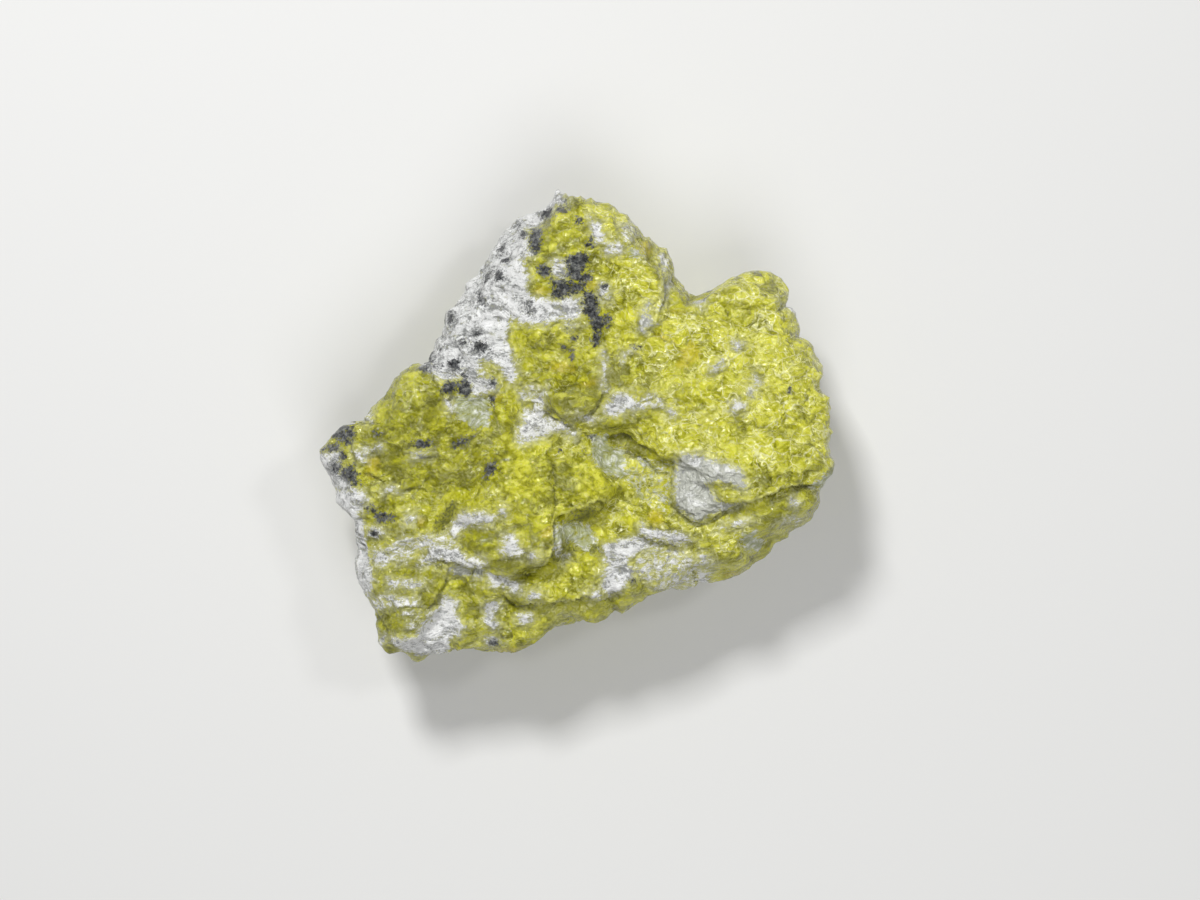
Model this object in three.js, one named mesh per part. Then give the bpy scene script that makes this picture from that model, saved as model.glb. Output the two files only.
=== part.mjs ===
// A rough hand specimen of lizardite, a waxy yellow-green serpentine: one solid piece of stone with no parts.
// Units are millimetres, +Z up. The stone lies on its flattest fracture with its best face up. +Y runs
// towards its peak and +X towards its broad lobe. The origin is on the surface it rests on, under its middle.
//
// The skin starts as a sphere of even triangles. Each point of the sphere is sent to the upper face, the rim
// or the underside by its height on the sphere, and to its place in the plan by its direction.
import * as THREE from "three";
import { ImprovedNoise } from "three/addons/math/ImprovedNoise.js";
import { mergeVertices } from "three/addons/utils/BufferGeometryUtils.js";

// ---- Driving dimensions ----

// The widest line round the stone, clockwise from the peak, seen from above: [x, y].
const OUTLINE = [
  [-4, 50], [-2, 49], [2.5, 48], [7, 46.5], [10.5, 44.5], [13.5, 40.5], [16, 38.5], [19, 37],
  [20, 33.5], [22.5, 30], [25, 27.5], [28, 29], [31.5, 31], [34.5, 32.5], [38, 33.5], [41, 32.5],
  [44, 30.5], [44.5, 25.5], [46.5, 24], [47.5, 20.5], [49.5, 17.5], [51.5, 14], [52, 7.5], [53, 4.5],
  [53.5, -3], [54.5, -7.5], [53.5, -10.5], [51.5, -14], [50.5, -18.5], [47.5, -21.5], [44, -24.5],
  [40.5, -27.5], [37, -30], [31.5, -32], [26.5, -33.5], [23, -35], [19.5, -34], [15.5, -35],
  [12, -37.5], [8, -40], [5, -39], [0.5, -40.5], [-3.5, -42.5], [-7, -45.5], [-13.5, -47.5],
  [-21, -48], [-26, -47.5], [-29.5, -48.5], [-34.5, -50], [-37, -48], [-40.5, -46.5], [-42, -42.5],
  [-42, -39], [-43.5, -35.5], [-46.5, -31.5], [-47, -27], [-47, -21.5], [-48, -19], [-50.5, -16.5],
  [-51, -13.5], [-54, -9], [-54.5, -6], [-53, -4], [-50.5, -1], [-46, 1], [-43.5, 3], [-40.5, 7.5],
  [-38.5, 10], [-36.5, 12.5], [-33.5, 13.5], [-32, 13.5], [-30.5, 16], [-29.5, 19.5], [-28, 23],
  [-25.5, 26], [-23, 30], [-19.5, 34], [-19.5, 36.5], [-17.5, 39], [-15.5, 41.5], [-12.5, 44],
  [-7.5, 46], [-6, 48],
];

// Fracture blocks that stand proud of the upper face. Each has its edge in the plan, the height of its top
// at `at`, the rise of that top for each millimetre along +X and +Y, and how steeply its flanks fall away.
// Where it has a `cliff`, its sides from the first to the last of those numbers are steep ledges.
const BLOCKS = [
  {
    name: "crown", at: [-3.5, 27], height: 34.8, rise: [0.05, -0.04], fall: 0.5, cliff: [5, 7],
    edge: [
      [-27, 18], [-22, 28.5], [-17.5, 37.5], [-12, 44], [-4, 49], [6, 46], [13, 38], [16.5, 31],
      [18.5, 24], [17, 18], [13, 17], [5, 15.5], [-3.5, 17], [-12, 19], [-16, 17], [-20, 11.5],
    ],
  },
  {
    name: "broad lobe", at: [28.5, 5], height: 35.8, rise: [-0.02, -0.05], fall: 0.4, cliff: [9, 18],
    edge: [
      [8, 8], [9, 13], [14, 15.5], [20, 17], [27, 23], [34, 28], [41.5, 30], [44.5, 24], [50.5, 11.5],
      [53, -3], [52, -9.5], [46.5, -12], [39.5, -14.5], [33, -15.5], [28, -13], [25.5, -9], [20, -7.5],
      [14.5, -3], [8.5, -0.5], [6, 2.5],
    ],
  },
  {
    name: "silver face", at: [27, -12], height: 34.9, rise: [0, 0.07], fall: 0.6, cliff: [3, 7],
    edge: [
      [20.5, -6], [28, -6], [34, -10], [38, -14.5], [32.3, -15.1], [25.5, -19.8], [20.8, -17.7],
      [20, -12],
    ],
  },
  {
    name: "saddle", at: [-6, 13], height: 34.6, rise: [0.02, -0.03], fall: 0.5,
    edge: [
      [-20, 12], [-16, 17], [-3.5, 18], [6, 17], [14, 16], [12, 8], [4.5, 9.5], [-0.5, 8.5],
      [-5.5, 7], [-12, 8], [-17, 6],
    ],
  },
  {
    name: "left shoulder", at: [-29.5, -6.5], height: 34.4, rise: [0.05, 0.01], fall: 0.6,
    edge: [
      [-50.5, -3], [-37, 11], [-30, 12], [-22, 6.5], [-16, 5.5], [-13, -1], [-16, -6], [-20, -7.5],
      [-22, -15.5], [-28.5, -24], [-37, -25], [-44, -21.5], [-47, -15.5],
    ],
  },
  {
    name: "left slab", at: [-12, -17.5], height: 37.2, rise: [0.06, -0.09], fall: 0.45, cliff: [3, 7],
    edge: [
      [-19, -9], [-11.5, -5], [-5, -3], [-4.8, -9], [-4.7, -15.5], [-4.5, -25], [-6, -27], [-12, -28],
      [-18.5, -28.5], [-21, -21.5],
    ],
  },
  {
    name: "right slab", at: [2, -11.5], height: 36, rise: [-0.04, -0.12], fall: 0.8, cliff: [2, 5],
    edge: [[-4.7, -3], [3, -4], [5, -7.5], [8.5, -13.5], [7.5, -15], [0.5, -17.5], [-4.7, -20]],
  },
  {
    name: "middle nodule", at: [0.5, 5], height: 36.6, rise: [0, -0.1], fall: 0.9, cliff: [3, 5],
    edge: [[-5.5, 6.5], [-0.5, 8.5], [4.5, 9.5], [5, 5.5], [4, 3], [-0.5, 0.5], [-5, 3]],
  },
  {
    name: "wedge", at: [11, 1.5], height: 37.2, rise: [0.03, -0.1], fall: 0.9, cliff: [3, 4],
    edge: [[5, 1.5], [13, 4], [16.5, 5.5], [15.5, 1], [10, -1], [6, -1]],
  },
  {
    name: "lower terrace", at: [-7, -33], height: 33.2, rise: [0.02, -0.05], fall: 0.8, cliff: [4, 8],
    edge: [
      [-20, -31], [-12, -30.5], [-5, -29], [3, -30], [5, -31], [4.5, -34], [-0.5, -36], [-6.5, -36.5],
      [-16, -35.5], [-22, -34],
    ],
  },
  {
    name: "white block", at: [14.5, -30], height: 32.4, rise: [-0.05, 0.05], fall: 1,
    edge: [
      [5, -25], [13, -24], [18.5, -25], [23.5, -27], [27, -31], [23.5, -34], [15.5, -34.5],
      [10.5, -34], [5, -36], [4, -31],
    ],
  },
  {
    name: "white bar", at: [18, -23], height: 33.8, rise: [0, -0.1], fall: 1, cliff: [2, 4],
    edge: [[13, -21], [18.5, -21.5], [23.5, -22.5], [23, -24.5], [17.5, -24], [13, -23]],
  },
  {
    name: "lower band", at: [37.5, -21.5], height: 32.4, rise: [-0.03, 0.15], fall: 0.8,
    edge: [
      [29, -16.5], [38, -16.5], [52, -10], [53, -13.5], [48.5, -21.5], [38, -29.5], [27, -33],
      [24.5, -28], [25.5, -22.5],
    ],
  },
  {
    name: "lower left nodule", at: [-34, -35], height: 33.4, rise: [0.03, 0.03], fall: 1, cliff: [2, 5],
    edge: [
      [-42.5, -31], [-37, -29], [-28.5, -28.5], [-27, -33], [-30.5, -39], [-34.5, -43], [-40, -41.5],
    ],
  },
  {
    name: "white fold", at: [-25.5, -27.5], height: 34.4, rise: [0.05, 0.05], fall: 1, cliff: [3, 6],
    edge: [
      [-32.5, -25], [-27.5, -25], [-22, -26.5], [-18, -29], [-20.5, -30], [-26.5, -28.5], [-31.5, -27],
    ],
  },
  {
    name: "bottom terrace", at: [-14, -41], height: 31, rise: [0, 0.1], fall: 0.8,
    edge: [
      [-26.5, -36], [-16, -36], [-5.5, -37], [5, -37.5], [-3.5, -42.5], [-14, -46.5], [-25.5, -47],
      [-28.5, -44.5],
    ],
  },
];

// Broken-out hollows in the upper face, each with its edge, its depth and the width of its sloping side.
const HOLLOWS = [
  {
    name: "middle hollow", depth: 1.6, side: 2,
    edge: [[-12, 7.5], [-6.5, 7.5], [-3.5, 1], [0.5, -2], [-6.5, -2.5], [-12, -3.5]],
  },
  {
    name: "silver hollow", depth: 0.8, side: 2,
    edge: [[20.5, -6], [28, -7], [29.5, -14.5], [25.5, -17.5], [21, -15.5]],
  },
];

// Flat fractures that cut off the rim. Each faces outwards along `bearing` (degrees from +X towards +Y) and
// leans `dip` degrees down, or up where that is negative. It is at[0] from the middle axis at height at[1].
const FRACTURES = [
  { bearing: 8, dip: 33, at: [54, 24] },
  { bearing: 46, dip: 25, at: [52, 17] },
  { bearing: 97, dip: 42, at: [49.5, 22] },
  { bearing: 142, dip: 35, at: [38.7, 22] },
  { bearing: 176, dip: 50, at: [53.5, 20] },
  { bearing: 214, dip: 40, at: [57.8, 25] },
  { bearing: 255, dip: 40, at: [56.7, 16] },
  { bearing: 291, dip: 30, at: [40.8, 22] },
  { bearing: 327, dip: 45, at: [51, 20] },
  { bearing: 135, dip: -30, at: [32, 34.5] },
  { bearing: 205, dip: -55, at: [50, 32.5] },
  { bearing: 30, dip: -35, at: [48.5, 34] },
  { bearing: 300, dip: -30, at: [38, 32] },
];

const FLOOR_HEIGHT = 32.6; // the upper face between its blocks, at the middle
const FLOOR_DOME = 0.0014; // how fast that face falls away from the middle, per square millimetre
const RIM_DROP = 4.5; // how far the upper face has fallen at the rim
const RIM_DROP_REACH = 2.6; // over about this width
const UNDERCUT = 11; // how far the underside has risen at the rim
const UNDERCUT_REACH = 5;
const UNDERSIDE_LUMPS = { size: 14, height: 3.2, sink: 0.7 }; // sunk into the plane the stone rests on
const RIM_BULGE = 0.06; // the rim's swell past the edges of both faces, as a share of the plan radius
const RIM_HIGH = 0.55; // below 1, the widest line is nearer to the upper face than to the underside
const FACE_SHARE = 0.58; // of the skin's triangles, those on the upper face
const UNDERSIDE_SHARE = 0.17;
const FACE_EDGE = 0.965; // where the upper face turns into the rim, as a share of the plan radius
const UNDERSIDE_EDGE = 0.9;
const CREST_ROUNDING = 0.6; // how softly two blocks blend where they meet
const LEDGE_FALL = 2.2; // slope of a cliff
const LEDGE_REACH = 3.6; // points of the skin this near a cliff are drawn towards it
const LEDGE_DRAW = 0.4; // down to this share of their distance from it, so that its flank has enough points
const RIM_KEEP = 0.06; // points this near the rim, as a share of the plan radius, stay where they are
const RIM_FOLLOW = 3; // how late, from the middle outwards, the skin takes on the outline's notches
const EVEN_SPREAD = 0.5; // over this angle on each side, in radians, the outline is evened out for the middle
const PILLOWS = { size: 11, height: 2.4 }; // rounded lumps with creases between them
const LUMPS = [
  { size: 24, height: 2.4 },
  { size: 5, height: 0.8 },
  { size: 2.8, height: 0.4 },
];
const SKIN_DETAIL = 21; // splits of each edge of the starting icosahedron

// ---- Shape of the plan ----

const noise = new ImprovedNoise();
const clamp01 = (t) => Math.min(1, Math.max(0, t));
const smooth = (t) => t * t * (3 - 2 * t);

// The outline as [angle, radius] pairs in rising angle.
const POLAR_OUTLINE = OUTLINE.map(([x, y]) => [Math.atan2(y, x), Math.hypot(x, y)]);
POLAR_OUTLINE.sort((a, b) => a[0] - b[0]);

// Distance from the middle of the plan to the outline in one direction. The outline is seen whole from there.
function planRadius(direction) {
  const turn = 2 * Math.PI;
  const angle = Math.atan2(Math.sin(direction), Math.cos(direction));
  const next = Math.max(0, POLAR_OUTLINE.findIndex(([other]) => other > angle));
  const [a1, r1] = POLAR_OUTLINE[next];
  const [a0, r0] = POLAR_OUTLINE.at(next - 1);
  const part = ((angle - a0 + turn) % turn) / ((a1 - a0 + turn) % turn);
  return r0 + (r1 - r0) * part;
}

// Radius of the plan evened out over its notches and corners.
function evenRadius(angle) {
  const turns = [-1, -0.67, -0.33, 0, 0.33, 0.67, 1];
  return turns.reduce((sum, turn) => sum + planRadius(angle + turn * EVEN_SPREAD), 0) / turns.length;
}

// Nearest point of a closed edge to (x, y), the side it is on, its distance, and whether (x, y) is inside.
function nearestOnEdge(edge, x, y) {
  let best = { distance: Infinity, side: 0, x: 0, y: 0 };
  let inside = false;
  edge.forEach(([ax, ay], side) => {
    const [bx, by] = edge[(side + 1) % edge.length];
    const length2 = (bx - ax) ** 2 + (by - ay) ** 2;
    const t = clamp01(((x - ax) * (bx - ax) + (y - ay) * (by - ay)) / length2);
    const px = ax + t * (bx - ax);
    const py = ay + t * (by - ay);
    const distance = Math.hypot(x - px, y - py);
    if (distance < best.distance) best = { distance, side, x: px, y: py };
    if (ay > y !== by > y && x < ((bx - ax) * (y - ay)) / (by - ay) + ax) inside = !inside;
  });
  return { ...best, inside };
}

// How far outside an edge (x, y) lies, negative inside it.
function distanceOutside(edge, x, y) {
  const near = nearestOnEdge(edge, x, y);
  return near.inside ? -near.distance : near.distance;
}

const onCliff = ({ cliff }, { side }) => cliff !== undefined && side >= cliff[0] && side <= cliff[1];

function smoothMax(a, b, softness) {
  const t = clamp01(0.5 + (0.5 * (a - b)) / softness);
  return b + (a - b) * t + softness * t * (1 - t);
}

// Draws a point of the upper face towards the cliff that it lies beside.
function drawToCliff(x, y) {
  const cliffs = BLOCKS.map((block) => ({ block, near: nearestOnEdge(block.edge, x, y) }))
    .filter(({ block, near }) => onCliff(block, near))
    .sort((a, b) => a.near.distance - b.near.distance);
  if (cliffs.length === 0) return [x, y];
  const { near } = cliffs[0];
  const keep = LEDGE_DRAW + (1 - LEDGE_DRAW) * smooth(clamp01(near.distance / LEDGE_REACH));
  return [near.x + (x - near.x) * keep, near.y + (y - near.y) * keep];
}

// ---- Heights ----

// Height of the upper face at (x, y), which lies `rim` millimetres inside the outline.
function upperFace(x, y, rim) {
  let height = FLOOR_HEIGHT - FLOOR_DOME * (x * x + y * y);
  for (const block of BLOCKS) {
    const { edge, at, rise } = block;
    const near = nearestOnEdge(edge, x, y);
    const fall = near.inside ? 0 : onCliff(block, near) ? LEDGE_FALL : block.fall;
    const plane = block.height + rise[0] * (x - at[0]) + rise[1] * (y - at[1]);
    height = smoothMax(height, plane - fall * near.distance, CREST_ROUNDING);
  }
  for (const { edge, depth, side } of HOLLOWS) {
    height -= depth * smooth(clamp01(0.5 - distanceOutside(edge, x, y) / side));
  }
  return height - RIM_DROP * Math.exp(-rim / RIM_DROP_REACH);
}

// Height of the underside. Below zero it is the parting plane that the stone rests on.
function underside(x, y, rim) {
  const { size, height, sink } = UNDERSIDE_LUMPS;
  const lumps = height * noise.noise(x / size, y / size, 7.3);
  return lumps - sink + UNDERCUT * Math.exp(-rim / UNDERCUT_REACH);
}

// ---- The skin ----

// The places along one direction from the middle of the plan, each with its distance inside the outline.
function planRay(angle) {
  const radius = planRadius(angle);
  const even = evenRadius(angle);
  return (share) => {
    const reach = share * (even + (radius - even) * share ** RIM_FOLLOW);
    return { x: reach * Math.cos(angle), y: reach * Math.sin(angle), rim: radius * (1 - share) };
  };
}

function facePoint(ray, share) {
  const { x, y, rim } = ray(share);
  const [drawnX, drawnY] = share > FACE_EDGE - RIM_KEEP ? [x, y] : drawToCliff(x, y);
  return new THREE.Vector3(drawnX, drawnY, upperFace(drawnX, drawnY, rim));
}

function undersidePoint(ray, share) {
  const { x, y, rim } = ray(share);
  return new THREE.Vector3(x, y, underside(x, y, rim));
}

// A point of the rim, at `part` of the way down it.
function rimPoint(ray, part) {
  const straight = FACE_EDGE + (UNDERSIDE_EDGE - FACE_EDGE) * part;
  const { x, y } = ray(straight + RIM_BULGE * Math.sin(Math.PI * part ** RIM_HIGH));
  const top = facePoint(ray, FACE_EDGE).z;
  const bottom = undersidePoint(ray, UNDERSIDE_EDGE).z;
  return new THREE.Vector3(x, y, top + (bottom - top) * part);
}

// Where a point of the unit sphere goes, before the fractures and the small lumps.
function skinPoint(direction) {
  const ray = planRay(Math.atan2(direction.y, direction.x));
  const above = (1 - direction.z) / 2; // shares of the skin above and below the point
  const below = 1 - above;
  if (above < FACE_SHARE) return facePoint(ray, FACE_EDGE * Math.sqrt(above / FACE_SHARE));
  if (below < UNDERSIDE_SHARE) {
    return undersidePoint(ray, UNDERSIDE_EDGE * Math.sqrt(below / UNDERSIDE_SHARE));
  }
  return rimPoint(ray, (above - FACE_SHARE) / (1 - FACE_SHARE - UNDERSIDE_SHARE));
}

const FRACTURE_PLANES = FRACTURES.map(({ bearing, dip, at: [out, height] }) => {
  const up = new THREE.Vector3(0, 0, 1);
  const turn = THREE.MathUtils.degToRad(bearing);
  const lean = THREE.MathUtils.degToRad(dip);
  const normal = new THREE.Vector3(Math.cos(lean), 0, -Math.sin(lean)).applyAxisAngle(up, turn);
  const through = new THREE.Vector3(out, 0, height).applyAxisAngle(up, turn);
  return new THREE.Plane().setFromNormalAndCoplanarPoint(normal, through);
});

// Moves a point that lies beyond a fracture back onto it.
function cutByFractures(point) {
  for (const plane of FRACTURE_PLANES) {
    const excess = plane.distanceToPoint(point);
    if (excess > 0) point.addScaledVector(plane.normal, -excess);
  }
}

// How far the small lumps push the skin out at a point.
function lumpHeight({ x, y, z }) {
  const pillow = Math.abs(noise.noise(x / PILLOWS.size, y / PILLOWS.size, z / PILLOWS.size + 3.7));
  return LUMPS.reduce(
    (sum, { size, height }, layer) => sum + height * noise.noise(x / size + 17 * layer, y / size, z / size),
    PILLOWS.height * (pillow - 0.25),
  );
}

// Pushes each point of the skin in or out along its normal by the small lumps.
function addLumps(geometry) {
  geometry.computeVertexNormals();
  const { position, normal } = geometry.attributes;
  for (let i = 0; i < position.count; i++) {
    const point = new THREE.Vector3().fromBufferAttribute(position, i);
    const out = new THREE.Vector3().fromBufferAttribute(normal, i);
    point.addScaledVector(out, lumpHeight(point));
    position.setXYZ(i, point.x, point.y, Math.max(0, point.z));
  }
}

function stoneGeometry() {
  const sphere = new THREE.IcosahedronGeometry(1, SKIN_DETAIL);
  sphere.deleteAttribute("normal");
  sphere.deleteAttribute("uv");
  const geometry = mergeVertices(sphere, 1e-5);
  const { position } = geometry.attributes;
  for (let i = 0; i < position.count; i++) {
    const point = skinPoint(new THREE.Vector3().fromBufferAttribute(position, i));
    cutByFractures(point);
    position.setXYZ(i, point.x, point.y, point.z);
  }
  addLumps(geometry);
  geometry.computeBoundingBox();
  const middle = geometry.boundingBox.getCenter(new THREE.Vector3());
  geometry.translate(-middle.x, -middle.y, -geometry.boundingBox.min.z);
  geometry.computeVertexNormals();
  return geometry;
}

const waxyStone = new THREE.MeshStandardMaterial({ color: 0xb3b13d, roughness: 0.5, metalness: 0 });

const specimen = new THREE.Group();
const stone = new THREE.Mesh(stoneGeometry(), waxyStone);
stone.name = "lizardite_stone";
specimen.add(stone);

export default specimen;
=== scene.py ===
"""Rough lizardite hand specimen: the stone's refined skin, its mineral finish and a small studio.

Blender works in metres. Places in the stone's plan are written in millimetres from the middle of
the stone, X towards its broad lobe and Y towards its peak, and heights in millimetres above the
surface it rests on.
"""

import logging
import math
from collections.abc import Sequence
from dataclasses import dataclass, replace
from enum import Enum

import bmesh
import bpy
import numpy as np
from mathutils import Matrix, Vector, noise


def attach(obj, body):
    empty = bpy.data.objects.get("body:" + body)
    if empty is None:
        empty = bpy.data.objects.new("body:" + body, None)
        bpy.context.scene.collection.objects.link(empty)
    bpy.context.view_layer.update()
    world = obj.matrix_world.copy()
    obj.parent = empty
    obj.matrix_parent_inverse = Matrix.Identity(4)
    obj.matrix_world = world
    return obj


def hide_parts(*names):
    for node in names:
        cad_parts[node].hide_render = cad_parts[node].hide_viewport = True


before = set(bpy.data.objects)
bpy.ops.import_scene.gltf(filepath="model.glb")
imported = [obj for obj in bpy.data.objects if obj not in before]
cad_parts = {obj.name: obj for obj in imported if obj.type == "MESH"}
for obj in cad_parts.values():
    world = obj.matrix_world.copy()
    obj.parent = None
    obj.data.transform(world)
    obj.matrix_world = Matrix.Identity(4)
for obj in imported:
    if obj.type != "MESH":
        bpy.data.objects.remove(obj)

log = logging.getLogger("specimen")

MM = 0.001
STONE_NODE = "lizardite_stone"
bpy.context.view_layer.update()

# How far around a patch its depth is worked out, in millimetres. All beyond counts as this far out.
REACH = 8.0

Colour = tuple[float, float, float, float]
Place = tuple[float, float]
Span = tuple[float, float]
Fade = tuple[float, float, float]
Socket = bpy.types.NodeSocket

# The middle of a node's noise or colour along each axis.
MIDDLE = (0.5, 0.5, 0.5)


class Mineral(Enum):
    """What a part of the stone's skin is made of; a few patches lay a mineral's colour as painted
    shade. The value names its attribute on the mesh.
    """

    WHITE = "white"
    SILVER = "silver"
    CREAM = "cream"
    MIST = "mist"
    # Mossy dark green; below the right slab's foot it is painted shadow.
    MOSS_AND_SHADE = "moss"
    DARK = "dark"
    OLIVE = "olive"
    BRIGHT = "bright"
    AMBER = "amber"


NODULES = (Mineral.OLIVE, Mineral.BRIGHT, Mineral.AMBER)


@dataclass(frozen=True)
class Line:
    """A line in the stone's plan."""

    points: tuple[Place, ...]

    def measure(self, places: np.ndarray) -> tuple[np.ndarray, np.ndarray, np.ndarray]:
        """Where places lie beside the line.

        Args:
            places: X and Y of each place, in millimetres.

        Returns:
            Distance to the line, a number that is positive on its left, and distance from its
            nearer end along it.
        """
        nearest = np.full(len(places), np.inf)
        left = np.zeros(len(places))
        walk = np.zeros(len(places))
        walked = 0.0
        for start, end in zip(self.points, self.points[1:]):
            a, side = np.array(start), np.subtract(end, start)
            length = float(np.hypot(*side))
            along = np.clip((places - a) @ side / length**2, 0.0, 1.0)
            gap = places - a - along[:, None] * side
            distance = np.hypot(gap[:, 0], gap[:, 1])
            nearer = distance < nearest
            nearest = np.where(nearer, distance, nearest)
            left = np.where(nearer, side[0] * gap[:, 1] - side[1] * gap[:, 0], left)
            walk = np.where(nearer, walked + along * length, walk)
            walked += length
        return nearest, left, np.minimum(walk, walked - walk)

    def near(self, places: np.ndarray, reach: float) -> np.ndarray:
        """Numbers of the places in a box around the line, wider by the reach on each side."""
        low, high = np.min(self.points, axis=0) - reach, np.max(self.points, axis=0) + reach
        return np.flatnonzero(np.all((places > low) & (places < high), axis=1))


@dataclass(frozen=True)
class Patch:
    """A patch of one mineral, by its edge in the plan. A low fill makes it thin and broken."""

    mineral: Mineral
    name: str
    edge: tuple[Place, ...]
    fill: float = 6.0

    def add_depth(self, places: np.ndarray, depth: np.ndarray) -> None:
        """Raises the mineral's depth where the patch lies.

        Args:
            places: X and Y of each place, in millimetres.
            depth: Millimetres inside the mineral at each place, negative outside it.
        """
        outline = Line(self.edge + self.edge[:1])
        near = outline.near(places, REACH)
        x, y = places[near].T
        inside = np.zeros(len(near), bool)
        for (x0, y0), (x1, y1) in zip(outline.points, outline.points[1:]):
            if y0 != y1:
                inside ^= ((y0 > y) != (y1 > y)) & (x < x0 + (x1 - x0) * (y - y0) / (y1 - y0))
        distance = outline.measure(places[near])[0]
        own = np.minimum(np.where(inside, distance, -distance), self.fill)
        depth[near] = np.maximum(depth[near], own)


@dataclass(frozen=True)
class Spot:
    """An oval of one mineral: its middle, its two radii and the turn of the first in degrees."""

    x: float
    y: float
    along: float
    across: float
    turn: float = 0.0

    def add_depth(self, places: np.ndarray, depth: np.ndarray) -> None:
        """Raises the mineral's depth where the spot lies.

        Args:
            places: X and Y of each place, in millimetres.
            depth: Millimetres inside the mineral at each place, negative outside it.
        """
        near = Line(((self.x, self.y),)).near(places, REACH)
        angle = math.radians(self.turn)
        x, y = places[near, 0] - self.x, places[near, 1] - self.y
        u = (x * math.cos(angle) + y * math.sin(angle)) / self.along
        v = (y * math.cos(angle) - x * math.sin(angle)) / self.across
        own = (1.0 - np.hypot(u, v)) * min(self.along, self.across)
        depth[near] = np.maximum(depth[near], own)


@dataclass(frozen=True)
class Vein:
    """A thin vein of one mineral along a line."""

    mineral: Mineral
    width: float
    line: tuple[Place, ...]

    def add_depth(self, places: np.ndarray, depth: np.ndarray) -> None:
        """Raises the mineral's depth where the vein lies.

        Args:
            places: X and Y of each place, in millimetres.
            depth: Millimetres inside the mineral at each place, negative outside it.
        """
        line = Line(self.line)
        near = line.near(places, REACH)
        depth[near] = np.maximum(depth[near], self.width - line.measure(places[near])[0])


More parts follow.
